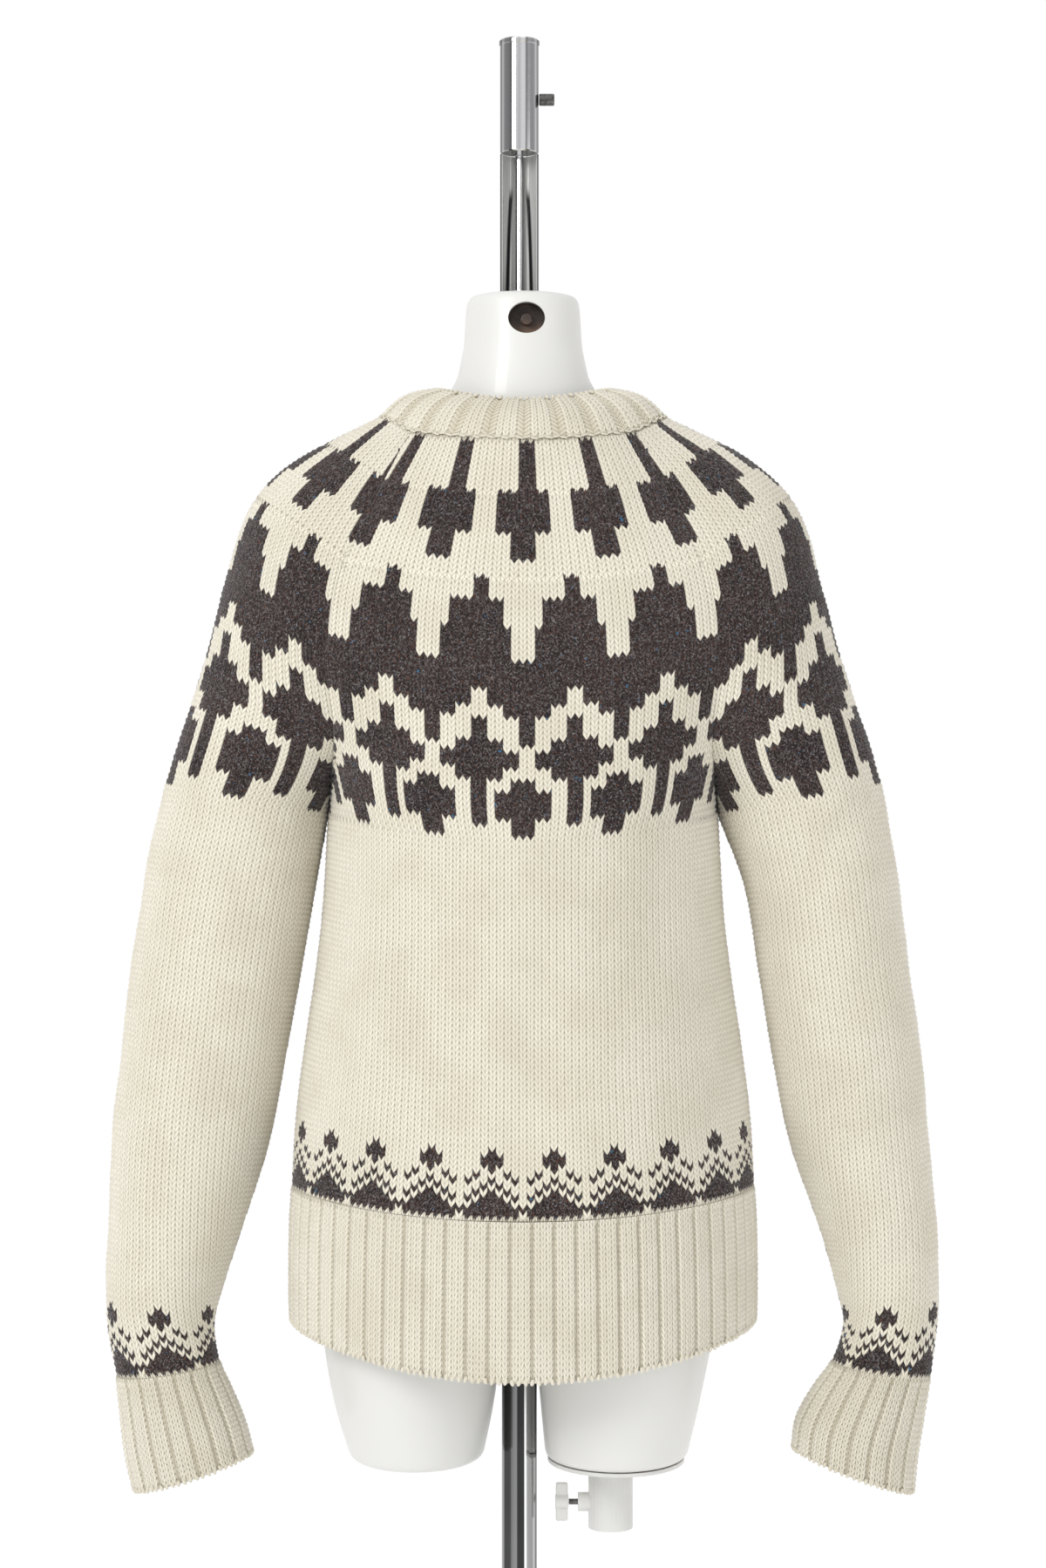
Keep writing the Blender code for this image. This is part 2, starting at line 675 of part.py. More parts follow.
def shoulder_point(share, arc, part):
    def outer(at_share, at_part):
        if arc == 0:
            return panel_point(at_share, 2 * at_part - 1, front=False)
        if arc == 2:
            return panel_point(at_share, 1 - 2 * at_part, front=True)
        if arc == 1:
            return cap_point(at_share, 2 * at_part - 1, 1)
        return cap_point(at_share, 1 - 2 * at_part, -1)

    step = 0.02
    lower, upper = max(share - step, 0.0), min(share + step, 1.0)
    rise = outer(upper, part) - outer(lower, part)
    along = outer(share, min(part + step, 1.0)) - outer(share, max(part - step, 0.0))
    out = along.cross(rise).normalized()
    clearance = FORM_CLEARANCE + FORM_CLEARANCE_GROWTH * (1.0 - share)
    return outer(share, part) - out * (WALL + clearance)


def make_form():
    rings = []
    for row in FORM_BODY:
        rings.append(oval(row.half_width, row.half_depth, row.z, middle_y=row.middle_y))
    rings += [shoulder_ring(share) for share in FORM_SHOULDER_SHARES]
    seam_mean_z = 1.400
    for row in FORM_NECK:
        ring = []
        for point, step in zip(oval(row.half_width, row.half_depth, row.z), range(FORM_AROUND)):
            seam = neck_seam_point(2 * math.pi * step / FORM_AROUND)
            point.z += row.follow * (seam.z - seam_mean_z)
            ring.append(point)
        rings.append(ring)
    form = lofted("torso_form", rings, WHITE_SHELL)
    for name, table in (("left_stub_shape", LEFT_STUB), ("right_stub_shape", RIGHT_STUB)):
        stub = lofted(name, [oval(r.half_width, r.half_depth, r.z, r.middle_x, count=36) for r in table])
        combine(form, stub, "UNION")
    bore = turned_cutter("pole_bore", POLE_RADIUS + FIT, STUB_BOTTOM_Z - 0.02, 1.38, STAND_X)
    combine(form, bore, "DIFFERENCE")
    bore = turned_cutter("channel_bore", CHANNEL_RADIUS + FIT, POLE_TOP_Z, COLLAR_TOP_Z, STAND_X)
    combine(form, bore, "DIFFERENCE")
    hole = add_cylinder("neck_hole", NECK_HOLE_RADIUS, 0.03, 32)
    hole.rotation_euler = (math.pi / 2, 0.0, 0.0)
    hole.location = (NECK_HOLE_X, NECK_HOLE_FLOOR_Y - 0.015, NECK_HOLE_Z)
    combine(form, hole, "DIFFERENCE")


def combine(thing, other, operation):
    cut = thing.modifiers.new(other.name, "BOOLEAN")
    cut.operation = operation
    cut.solver = "EXACT"
    cut.object = other


def add_cylinder(name, radius, height, sides, finish=None, bevel=0.0):
    mesh = bpy.data.meshes.new(name)
    solid = bmesh.new()
    bmesh.ops.create_cone(
        solid, cap_ends=True, segments=sides, radius1=radius, radius2=radius, depth=height
    )
    if bevel:
        edges = [edge for edge in solid.edges if abs(edge.verts[0].co.z - edge.verts[1].co.z) < 1e-6]
        bmesh.ops.bevel(solid, geom=edges, offset=bevel, segments=2, profile=0.5, affect="EDGES")
    solid.to_mesh(mesh)
    solid.free()
    return add_object(name, mesh, finish, smooth_angle=35.0)


def turned_cutter(name, radius, low_z, high_z, x):
    cutter = add_cylinder(name, radius, high_z - low_z, 32)
    cutter.location = (x, 0.0, (low_z + high_z) / 2)
    return cutter


def make_pole_and_base():
    base = add_cylinder("base_disc", BASE_RADIUS, BASE_THICKNESS, 48, CHROME, BASE_BEVEL)
    base.location = (0.0, 0.0, BASE_THICKNESS / 2)
    hub = add_cylinder("hub", HUB_RADIUS, HUB_HEIGHT, 32, CHROME, 0.002)
    hub.location = (STAND_X, 0.0, BASE_THICKNESS + FIT + HUB_HEIGHT / 2)
    bore = turned_cutter("hub_bore", POLE_RADIUS + FIT, 0.0, 0.2, STAND_X)
    combine(hub, bore, "DIFFERENCE")
    low_z = BASE_THICKNESS + FIT
    pole = add_cylinder("pole", POLE_RADIUS, POLE_TOP_Z - FIT - low_z, 32, CHROME)
    pole.location = (STAND_X, 0.0, (POLE_TOP_Z - FIT + low_z) / 2)


def make_channel():
    """The half-round channel above the pole, open towards -Y, and the thin rod that stands in it."""
    steps = 16
    low_z, high_z = POLE_TOP_Z, CHANNEL_TOP_Z - FIT
    section = []
    for step in range(steps + 1):
        angle = math.pi * step / steps
        section.append((CHANNEL_RADIUS * math.cos(angle), CHANNEL_RADIUS * math.sin(angle)))
    inner_radius = CHANNEL_RADIUS - CHANNEL_WALL
    for step in range(steps, -1, -1):
        angle = math.pi * step / steps
        section.append((inner_radius * math.cos(angle), inner_radius * math.sin(angle)))
    count = len(section)
    points = [(STAND_X + x, y, z) for z in (low_z, high_z) for x, y in section]
    faces = []
    for step in range(count):
        after = (step + 1) % count
        faces.append([step, after, after + count, step + count])
    for step in range(steps):
        other = count - 1 - step
        faces.append([step + 1, step, other, other - 1])
        faces.append([step + count, step + 1 + count, other - 1 + count, other + count])
    add_object("half_round_channel", mesh_of("half_round_channel", points, faces), CHROME)
    rod = add_cylinder("channel_rod", ROD_RADIUS, high_z - low_z, 12, STEEL)
    rod.location = (STAND_X, inner_radius - ROD_RADIUS - FIT, (low_z + high_z) / 2)


def make_collar():
    profile = (
        (COLLAR_RADIUS - 0.0008, CHANNEL_TOP_Z),
        (COLLAR_RADIUS, CHANNEL_TOP_Z + 0.0008),
        (COLLAR_RADIUS, COLLAR_TOP_Z - COLLAR_RIM_HEIGHT),
        (COLLAR_RIM_RADIUS, COLLAR_TOP_Z - COLLAR_RIM_HEIGHT + 0.0006),
        (COLLAR_RIM_RADIUS, COLLAR_TOP_Z - 0.001),
        (COLLAR_RIM_RADIUS - 0.001, COLLAR_TOP_Z),
    )
    rings = [oval(radius, radius, z, STAND_X, count=32) for radius, z in profile]
    lofted("top_collar", rings, CHROME)
    screw = add_cylinder("collar_set_screw", SET_SCREW_RADIUS, SET_SCREW_LENGTH, 16, CHROME, 0.0008)
    screw.rotation_euler = (0.0, math.pi / 2, 0.0)
    screw.location = (STAND_X + COLLAR_RADIUS + FIT + SET_SCREW_LENGTH / 2, 0.0, SET_SCREW_Z)
    neck_screw = add_cylinder("neck_screw", NECK_SCREW_RADIUS, NECK_SCREW_LENGTH, 16, STEEL, 0.0008)
    neck_screw.rotation_euler = (math.pi / 2, 0.0, 0.0)
    neck_screw.location = (NECK_HOLE_X, NECK_HOLE_FLOOR_Y - FIT - NECK_SCREW_LENGTH / 2, NECK_HOLE_Z)


def make_socket():
    stub = RIGHT_STUB[0]
    plate_top = STUB_BOTTOM_Z - FIT
    inset = 0.0015
    plate_rings = [
        oval(stub.half_width - inset, stub.half_depth - inset, z, stub.middle_x, count=36)
        for z in (plate_top - PLATE_THICKNESS, plate_top)
    ]
    lofted("stub_plate", plate_rings, WHITE_PLASTIC)
    socket_top = plate_top - PLATE_THICKNESS - FIT
    socket = add_cylinder("socket", SOCKET_RADIUS, socket_top - SOCKET_BOTTOM_Z, 32, WHITE_PLASTIC, 0.0008)
    socket.location = (SOCKET_X, 0.0, (socket_top + SOCKET_BOTTOM_Z) / 2)
    boss_right_x = SOCKET_X - SOCKET_BORE - 0.001
    boss = add_cylinder("boss_shape", BOSS_RADIUS, boss_right_x - BOSS_LEFT_X, 24)
    boss.rotation_euler = (0.0, math.pi / 2, 0.0)
    boss.location = ((boss_right_x + BOSS_LEFT_X) / 2, 0.0, KNOB_Z)
    combine(socket, boss, "UNION")
    bore = turned_cutter("socket_bore", SOCKET_BORE, SOCKET_BOTTOM_Z - 0.01, socket_top - SOCKET_ROOF, SOCKET_X)
    combine(socket, bore, "DIFFERENCE")
    screw_bore = add_cylinder("knob_screw_bore", KNOB_SCREW_RADIUS + FIT, 0.024, 16)
    screw_bore.rotation_euler = (0.0, math.pi / 2, 0.0)
    screw_bore.location = (KNOB_SCREW_RIGHT_X - 0.008, 0.0, KNOB_Z)
    combine(socket, screw_bore, "DIFFERENCE")


def make_knob():
    """The wing knob and its screw, which turn together about the screw's axis."""
    length = KNOB_SCREW_RIGHT_X - KNOB_SCREW_LEFT_X
    screw = add_cylinder("knob_screw", KNOB_SCREW_RADIUS, length, 16, STEEL)
    screw.rotation_euler = (0.0, math.pi / 2, 0.0)
    screw.location = ((KNOB_SCREW_LEFT_X + KNOB_SCREW_RIGHT_X) / 2, 0.0, KNOB_Z)
    hub_length = KNOB_RIGHT_X - KNOB_LEFT_X
    knob = add_cylinder("wing_knob", KNOB_HUB_RADIUS, hub_length, 24, WHITE_PLASTIC, 0.0006)
    knob.rotation_euler = (0.0, math.pi / 2, 0.0)
    knob.location = (KNOB_LEFT_X + hub_length / 2, 0.0, KNOB_Z)
    wing_mesh = bpy.data.meshes.new("wing_shape")
    wing = bmesh.new()
    bmesh.ops.create_cube(wing, size=1.0)
    sizes = (hub_length - 0.0008, WING_THICKNESS, WING_SPAN)
    bmesh.ops.transform(wing, matrix=Matrix.Diagonal((*sizes, 1.0)), verts=wing.verts)
    bmesh.ops.bevel(wing, geom=wing.edges[:], offset=0.0012, segments=2, profile=0.5, affect="EDGES")
    wing.to_mesh(wing_mesh)
    wing.free()
    wing_shape = add_object("wing_shape", wing_mesh)
    wing_shape.location = knob.location
    combine(knob, wing_shape, "UNION")


def main():
    clear_scene()
    make_panels_and_sleeves()
    make_ribs()
    make_form()
    make_pole_and_base()
    make_channel()
    make_collar()
    make_socket()
    make_knob()


main()
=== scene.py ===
"""Looks of the round-neck yoke sweater on its torso form and chrome stand.

Metres, +Z up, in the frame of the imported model: the garment's back faces -Y. The cloth is knitted stitch by
stitch. A cloth is a fine grid of points with a row for each half course, and each point knows its place in
the pattern's repeats. Stitches lean like a V, so a stitch's sides stand a course higher than its middle.
"""

import math
from collections import namedtuple

import bmesh
import bpy
import numpy as np
from mathutils import Matrix


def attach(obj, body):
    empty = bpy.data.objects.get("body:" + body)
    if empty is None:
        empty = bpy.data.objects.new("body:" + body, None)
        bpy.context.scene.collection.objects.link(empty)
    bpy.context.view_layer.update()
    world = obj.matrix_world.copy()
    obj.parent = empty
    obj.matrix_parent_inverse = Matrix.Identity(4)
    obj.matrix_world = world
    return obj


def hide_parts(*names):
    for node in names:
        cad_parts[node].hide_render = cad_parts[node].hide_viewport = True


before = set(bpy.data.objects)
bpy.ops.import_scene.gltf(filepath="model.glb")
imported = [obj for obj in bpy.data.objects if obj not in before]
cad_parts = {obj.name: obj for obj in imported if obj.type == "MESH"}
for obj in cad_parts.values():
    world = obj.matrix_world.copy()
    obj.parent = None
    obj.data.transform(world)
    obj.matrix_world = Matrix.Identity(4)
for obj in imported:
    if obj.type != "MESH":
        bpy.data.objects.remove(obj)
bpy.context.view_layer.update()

# Knitting
YOKE_COURSES = 73
BODY_COURSES = 67
SLEEVE_COURSES = 104
HEM_COURSES = 27
CUFF_COURSES = 19
BAND_COURSES = 12
YOKE_REPEATS = 17
HEM_RIBS = 31
CUFF_RIBS = 18
NECK_RIBS = 24
WALL = 0.0024
LEAN = np.array([2, 1, 0, 1])
RELIEF = np.array([[-0.00105, -0.00050, -0.00080, -0.00050], [-0.00060, 0.00045, -0.00005, 0.00045]])
UNEVEN = 0.00010
SAMPLES = 161
FINE_SAMPLES = 481
# The share of a row's length that its stitches keep clear of at each end.
EDGE_MARGIN = 0.0015
# Stitches in a repeat below the yoke.
BODY_REPEAT = 12
SLEEVE_PLAIN_COURSES = 18
SLEEVE_PATTERN_ROWS = 60
INNER_COLUMNS = 44
RIB_INNER_COLUMNS = 60
RIB_WALL = 0.0026
RIB_LIFT = 0.0006
RIB_STITCHES = 4
# Widths of a rib's four columns of stitches, as shares of a plain one. The last column is the groove.
HEM_COLUMNS = (1.0, 1.0, 1.0, 0.6)
CUFF_COLUMNS = (1.0, 1.0, 1.0, 0.8)
BAND_COLUMNS = (1.0, 1.0, 1.0, 2.2)
HEM_DEPTH = 0.0016
CUFF_DEPTH = 0.0015
BAND_DEPTH = 0.0015
EDGE_ROLL = 0.0010
# How deep the groove lies at a rib's quarters of a stitch, as a share of its depth.
PURL_QUARTERS = {12: -0.4, 13: -0.9, 14: -1.0, 15: -0.9, 0: -0.4}
# Flat width and length of each kind of piece.
BACK_FLAT = (0.47, 0.53)
FRONT_FLAT = (0.47, 0.50)
SLEEVE_FLAT = (0.36, 0.72)
HEM_FLAT = (0.47, 0.11)
CUFF_FLAT = (0.26, 0.09)
BAND_FLAT = (0.56, 0.05)
# Where in a stitch the plain faces take their colour, which gives them a little of the painted shade between
# stitches.
PLAIN_PLACE = [0.46, -0.5]
# Small loops of yarn on an edge.
EdgeLoops = namedtuple("EdgeLoops", "pitch length radius")
CAST_OFF = EdgeLoops(0.0044, 0.0046, 0.00140)
CHAIN = EdgeLoops(0.0049, 0.0060, 0.00085)
LOOP_LEAN = 0.32
LOOP_JITTER = 0.00022

# The yoke's chart from the neckband's seam down: courses, then one repeat of stitches, X for dark yarn.
YOKE_CHART = (
    (1, "........"),
    (10, "....XX.."),
    (8, "..XXXXXXX."),
    (5, "....XXX..."),
    (3, ".........."),
    (4, "XX.........."),
    (5, "XXXX.....XXX"),
    (6, "XXXXX...XXXX"),
    (5, "XXXXXXXXXXXX"),
    (3, "..XXXXXXXXXX"),
    (2, "....XXXXXX.."),
    (4, "XX....XX...."),
    (1, "XXXX..XX..XX"),
    (1, "XXXX......XX"),
    (3, "XXXXXX..XXXX"),
    (2, "XXXX......XX"),
    (2, "XX...XXX...."),
    (5, "XX.XXXXXXX.."),
    (1, "XX...XXX...."),
    (2, ".....XXX...."),
)
# The border above the hem and the cuffs, a row for each course.
BORDER_CHART = (
    "...X....",
    "..XXX...",
    "..XXX...",
    "...X....",
    ".X...X..",
    "X..X..X.",
    "..X.X...",
    ".X.X.X..",
    "X.XXX.X.",
    ".XXXXX..",
    "XXXXXXXX",
    "XXXXXXX.",
)
# How much closer than the mean the repeats lie at the middle of the back and front, by share.
SPREAD = ((0.0, 0.09), (0.244, 0.09), (0.50, 0.0), (0.78, -0.02), (1.0, -0.20))
PLAIN_SHARE = 0.244
BODY_WALES = ((0.884, 0.00530), (0.931, 0.00508), (0.979, 0.00497), (1.027, 0.00495), (1.138, 0.00495))
SLEEVE_WALE = 0.0052

# Sizes shared with the solids. The columns mean the same as in the part's source.
UNDERARM_Z = 1.138
RIB_TOP_Z = 0.884
HEM_Z = 0.7925
SLEEVE_TOP_Z = 1.148
CUFF_TOP_Z = 0.757
BAND_TOP_HALF_WIDTH = 0.061
BAND_TOP_HALF_DEPTH = 0.054
BAND_TOP_BACK_Z = 1.4190
BAND_TOP_SIDE_Z = 1.4300
BAND_TOP_FRONT_Z = 1.3900
BAND_BULGE = 0.0052
STAND_X = -0.0025
CAMERA_DISTANCE = 2.3
CAMERA_HEIGHT = 1.159
CAMERA_LENS = 76.7
SENSOR_WIDTH = 36.0
FLOOR_SIZE = 14.0
YokeRing = namedtuple(
    "YokeRing",
    "share seam_x seam_z cap_x cap_z sleeve_depth sleeve_open back_depth back_sag front_sag front_drop",
)
YOKE = (
    YokeRing(0.000, 0.134, 1.138, 0.247, 1.158, 0.0500, 180.0, 0.113, 0.016, 0.016, 0.000),
    YokeRing(0.244, 0.127, 1.192, 0.223, 1.231, 0.0700, 119.0, 0.113, 0.021, 0.021, 0.001),
    YokeRing(0.455, 0.130, 1.248, 0.205, 1.296, 0.0835, 91.0, 0.112, 0.020, 0.023, 0.003),
    YokeRing(0.630, 0.121, 1.300, 0.189, 1.347, 0.0880, 74.0, 0.108, 0.016, 0.024, 0.006),
    YokeRing(0.780, 0.103, 1.341, 0.158, 1.380, 0.0864, 59.0, 0.100, 0.012, 0.026, 0.009),
    YokeRing(1.000, 0.076, 1.397, 0.098, 1.411, 0.0780, 39.0, 0.078, 0.008, 0.028, 0.014),
)
BodyRing = namedtuple("BodyRing", "z half_width half_depth sag")
BODY = (
    BodyRing(0.7925, 0.1600, 0.1280, 0.0235),
    BodyRing(0.8110, 0.1605, 0.1270, 0.0200),
    BodyRing(0.8590, 0.1600, 0.1245, 0.0130),
    BodyRing(0.8840, 0.1585, 0.1230, 0.0105),
    BodyRing(0.9310, 0.1560, 0.1190, 0.0115),
    BodyRing(0.9790, 0.1500, 0.1150, 0.0125),
    BodyRing(1.0270, 0.1430, 0.1135, 0.0135),
    BodyRing(1.0750, 0.1375, 0.1125, 0.0145),
    BodyRing(1.1380, 0.1340, 0.1130, 0.0160),
)
SleeveRing = namedtuple("SleeveRing", "z middle_x half_width half_depth rise")
LEFT_SLEEVE = (
    SleeveRing(0.687, 0.2270, 0.0410, 0.0400, -0.026),
    SleeveRing(0.711, 0.2330, 0.0408, 0.0390, -0.022),
    SleeveRing(0.735, 0.2390, 0.0380, 0.0370, -0.016),
    SleeveRing(0.757, 0.2445, 0.0352, 0.0355, -0.010),
    SleeveRing(0.787, 0.2490, 0.0364, 0.0375, -0.001),
    SleeveRing(0.811, 0.2470, 0.0390, 0.0410, 0.005),
    SleeveRing(0.859, 0.2390, 0.0453, 0.0450, 0.012),
    SleeveRing(0.919, 0.2280, 0.0530, 0.0480, 0.015),
    SleeveRing(0.979, 0.2190, 0.0555, 0.0490, 0.016),
    SleeveRing(1.039, 0.2100, 0.0573, 0.0500, 0.017),
    SleeveRing(1.099, 0.2000, 0.0576, 0.0500, 0.018),
    SleeveRing(1.148, 0.1905, 0.0565, 0.0500, 0.020),
)
RIGHT_SLEEVE = (
    SleeveRing(0.688, 0.2270, 0.0418, 0.0400, -0.030),
    SleeveRing(0.711, 0.2300, 0.0414, 0.0390, -0.025),
    SleeveRing(0.735, 0.2380, 0.0378, 0.0370, -0.018),
    SleeveRing(0.757, 0.2465, 0.0335, 0.0345, -0.010),
    SleeveRing(0.787, 0.2530, 0.0322, 0.0360, -0.001),
    SleeveRing(0.811, 0.2515, 0.0345, 0.0390, 0.006),
    SleeveRing(0.859, 0.2440, 0.0393, 0.0430, 0.014),
    SleeveRing(0.919, 0.2310, 0.0468, 0.0460, 0.016),
    SleeveRing(0.979, 0.2220, 0.0500, 0.0480, 0.017),
    SleeveRing(1.039, 0.2130, 0.0507, 0.0490, 0.018),
    SleeveRing(1.099, 0.2040, 0.0517, 0.0500, 0.019),
    SleeveRing(1.148, 0.1905, 0.0565, 0.0500, 0.020),
)
# Soft folds pressed into the cloth: where each is deepest, its half length and half width, its lean from
# upright in degrees, and its depth. The first three of each panel are in the solids too.
Fold = namedtuple("Fold", "x z half_length half_width lean depth")
BACK_FOLDS = (
    Fold(0.010, 0.985, 0.110, 0.020, 2.0, 0.0030),
    Fold(-0.088, 1.075, 0.070, 0.016, -24.0, 0.0022),
    Fold(0.092, 1.070, 0.075, 0.016, 22.0, 0.0022),
    Fold(-0.052, 0.960, 0.060, 0.018, -6.0, 0.0010),
    Fold(0.063, 0.948, 0.055, 0.016, 7.0, 0.0011),
)
FRONT_FOLDS = (
    Fold(-0.030, 0.960, 0.090, 0.020, -3.0, 0.0028),
    Fold(0.095, 1.060, 0.075, 0.017, 24.0, 0.0024),
    Fold(-0.098, 1.065, 0.070, 0.016, -22.0, 0.0022),
    Fold(0.045, 0.950, 0.060, 0.018, 5.0, 0.0012),
)
SLEEVE_FOLDS = (
    Fold(0.205, 1.115, 0.050, 0.012, 38.0, 0.0022),
    Fold(0.222, 1.010, 0.045, 0.011, 30.0, 0.0016),
    Fold(0.228, 0.905, 0.040, 0.011, -28.0, 0.0016),
    Fold(0.250, 0.835, 0.028, 0.009, 35.0, 0.0014),
)


def smooth_row(table, at):
    """The row of a table at a value of its first column, on a smooth curve through the table's rows."""
    keys = [row[0] for row in table]
    at = min(max(at, keys[0]), keys[-1])
    low = max(index for index in range(len(table) - 1) if keys[index] <= at)
    span = keys[low + 1] - keys[low]
    part = (at - keys[low]) / span

    def slope(index, column):
        before = max(index - 1, 0)
        after = min(index + 1, len(table) - 1)
        return (table[after][column] - table[before][column]) / (keys[after] - keys[before])

    values = []
    for column in range(len(table[0])):
        start, end = table[low][column], table[low + 1][column]
        start_slope, end_slope = slope(low, column) * span, slope(low + 1, column) * span
        values.append(
            (2 * part**3 - 3 * part**2 + 1) * start
            + (part**3 - 2 * part**2 + part) * start_slope
            + (3 * part**2 - 2 * part**3) * end
            + (part**3 - part**2) * end_slope
        )
    return type(table[0])(*values)


def between(pairs, at):
    """A value between the pairs of a short table, on straight lines."""
    return float(np.interp(at, [key for key, value in pairs], [value for key, value in pairs]))


# Rings of the garment's surface, each an array of points


def panel_ring(share, across, front):
    ring = smooth_row(YOKE, share)
    seam_y = ring.sleeve_depth * math.sin(math.radians(ring.sleeve_open))
    edge_angle = math.acos(min(seam_y / ring.back_depth, 1.0))
    half_width = ring.seam_x / math.sin(edge_angle)
    angle = across * edge_angle
    sag = ring.front_sag if front else ring.back_sag
    seam_z = ring.seam_z - (ring.front_drop if front else 0.0)
    hang = 1.0 - (np.sin(angle) / math.sin(edge_angle)) ** 2
    depth = ring.back_depth * np.cos(angle) * (1.0 if front else -1.0)
    return np.stack([half_width * np.sin(angle), depth, seam_z - sag * hang], axis=-1)


def cap_ring(share, around, side):
    ring = smooth_row(YOKE, share)
    opening = math.radians(ring.sleeve_open)
    half_width = (ring.cap_x - ring.seam_x) / (1.0 - math.cos(opening))
    angle = around * opening
    height = (np.cos(angle) - math.cos(opening)) / (1.0 - math.cos(opening))
    seam_z = ring.seam_z - np.where(around > 0.0, ring.front_drop, 0.0)
    x = ring.cap_x - half_width * (1.0 - np.cos(angle))
    z = seam_z + (ring.cap_z - seam_z) * height
    return np.stack([side * x, ring.sleeve_depth * np.sin(angle), z], axis=-1)


def body_ring(z, across, front):
    ring = smooth_row(BODY, z)
    angle = across * math.pi / 2
    depth = ring.half_depth * np.cos(angle) * (1.0 if front else -1.0)
    return np.stack([ring.half_width * np.sin(angle), depth, z - ring.sag * np.cos(angle) ** 2], axis=-1)


def sleeve_ring(z, around, side):
    ring = smooth_row(RIGHT_SLEEVE if side > 0 else LEFT_SLEEVE, z)
    angle = around * math.pi
    x = ring.middle_x + ring.half_width * np.cos(angle)
    z = ring.z + ring.rise / 2 * np.cos(angle)
    return np.stack([side * x, ring.half_depth * np.sin(angle), z], axis=-1)


def neck_seam(turns):
    """Points of the neckband's seam. A turn is an angle from the middle of the back towards +X."""
    edge = math.radians(90.0 - YOKE[-1].sleeve_open)
    points = []
    for turn in (turns + math.pi) % (2 * math.pi) - math.pi:
        if abs(turn) <= edge:
            points.append(panel_ring(1.0, np.array([turn / edge]), False)[0])
        elif abs(turn) >= math.pi - edge:
            across = (math.copysign(math.pi, turn) - turn) / edge
            points.append(panel_ring(1.0, np.array([across]), True)[0])
        else:
            around = (abs(turn) - math.pi / 2) / (math.pi / 2 - edge)
            points.append(cap_ring(1.0, np.array([around]), math.copysign(1.0, turn))[0])
    return np.array(points)


def unit(vectors):
    return vectors / np.maximum(np.linalg.norm(vectors, axis=-1, keepdims=True), 1e-9)


def runs(points):
    """Length along a row of points, from its first one."""
    steps = np.linalg.norm(np.diff(points, axis=0), axis=1)
    return np.concatenate([[0.0], np.cumsum(steps)])


# Cloths: points, outward directions and places in the pattern, a row for each half course

Cloth = namedtuple("Cloth", "points out phases")
ACROSS = np.linspace(-1.0, 1.0, SAMPLES)
ACROSS_FINE = np.linspace(-1.0, 1.0, FINE_SAMPLES)


def course_shares():
    """Shares of the yoke's half courses, evenly spaced along the middle of the back."""
    shares = np.linspace(1.0, 0.0, 400)
    middle = np.array([panel_ring(share, np.zeros(1), False)[0] for share in shares])
    run = runs(middle)
    return np.interp(np.linspace(0.0, run[-1], 2 * YOKE_COURSES + 1), run, shares)


def ring_phase(share, run, length):
    """Repeats from the middle of the back or front, for a run along the yoke's ring."""
    turn = run / length
    return YOKE_REPEATS * turn + between(SPREAD, share) * np.sin(4 * math.pi * turn)


def ring_length(share):
    parts = (
        panel_ring(share, ACROSS, False),
        panel_ring(share, ACROSS, True),
        cap_ring(share, ACROSS, 1),
        cap_ring(share, ACROSS, -1),
    )
    return sum(runs(part)[-1] for part in parts)


def directions(points, facing):
    down = np.gradient(points, axis=0)
    across = np.gradient(points, axis=1)
    return unit(np.cross(down, across)) * facing


def fold_depth(points, folds, side=1.0):
    depth = np.zeros(points.shape[:-1])
    for fold in folds:
        lean = math.radians(fold.lean)
        dx, dz = side * points[..., 0] - fold.x, points[..., 2] - fold.z
        along = (dz * math.cos(lean) + dx * math.sin(lean)) / fold.half_length
        aside = (dx * math.cos(lean) - dz * math.sin(lean)) / fold.half_width
        depth += fold.depth * np.exp(-(along**2) - aside**2)
    return depth


def wander(points, phase):
    """A slow, uneven rise and fall of handled cloth, under a millimetre."""
    x, y, z = points[..., 0], points[..., 1], points[..., 2]
    wave = np.sin(41 * x + 23 * z + phase) * np.sin(37 * z - 29 * y + 2 * phase)
    return 0.0007 * wave + 0.0004 * np.sin(83 * x - 61 * z + 3 * phase) * np.sin(71 * y + 59 * z)


def panel_cloth(front):
    shares = course_shares()
    rows, phases = [], []
    for share in shares:
        points = panel_ring(share, ACROSS, front)
        run = runs(points)
        run -= run[-1] / 2
        phase = ring_phase(share, run, ring_length(share))
        plain = run / (BODY_REPEAT * between(BODY_WALES, UNDERARM_Z))
        weight = min(share / PLAIN_SHARE, 1.0)
        rows.append(points)
        phases.append(phase * weight + plain * (1.0 - weight))
    for z in np.linspace(UNDERARM_Z, RIB_TOP_Z, 2 * BODY_COURSES + 1)[1:]:
        points = body_ring(z, ACROSS, front)
        run = runs(points)
        run -= run[-1] / 2
        rows.append(points)
        phases.append(run / (BODY_REPEAT * between(BODY_WALES, z)))
    points = np.array(rows)
    facing = -1 if front else 1
    folds = FRONT_FOLDS if front else BACK_FOLDS
    fade = 1.0 - ACROSS[None, :, None] ** 4
    outward = np.array([0.0, 1.0 if front else -1.0, 0.0])
    points = points - outward * fold_depth(points, folds)[..., None] * fade
    out = directions(points, facing)
    points = points + out * wander(points, 1.3 if front else 0.0)[..., None] * fade
    return Cloth(points, directions(points, facing), np.array(phases))


def sleeve_chart_places():
    """Where the sleeve's half courses lie in the yoke's chart. It has more courses than the back over the
    upper arm, so its last motifs are taller."""
    upper = np.arange(0.0, SLEEVE_PATTERN_ROWS, 0.5)
    lower = np.linspace(SLEEVE_PATTERN_ROWS, YOKE_COURSES, 2 * SLEEVE_PLAIN_COURSES + 1)
    return np.concatenate([upper, lower])


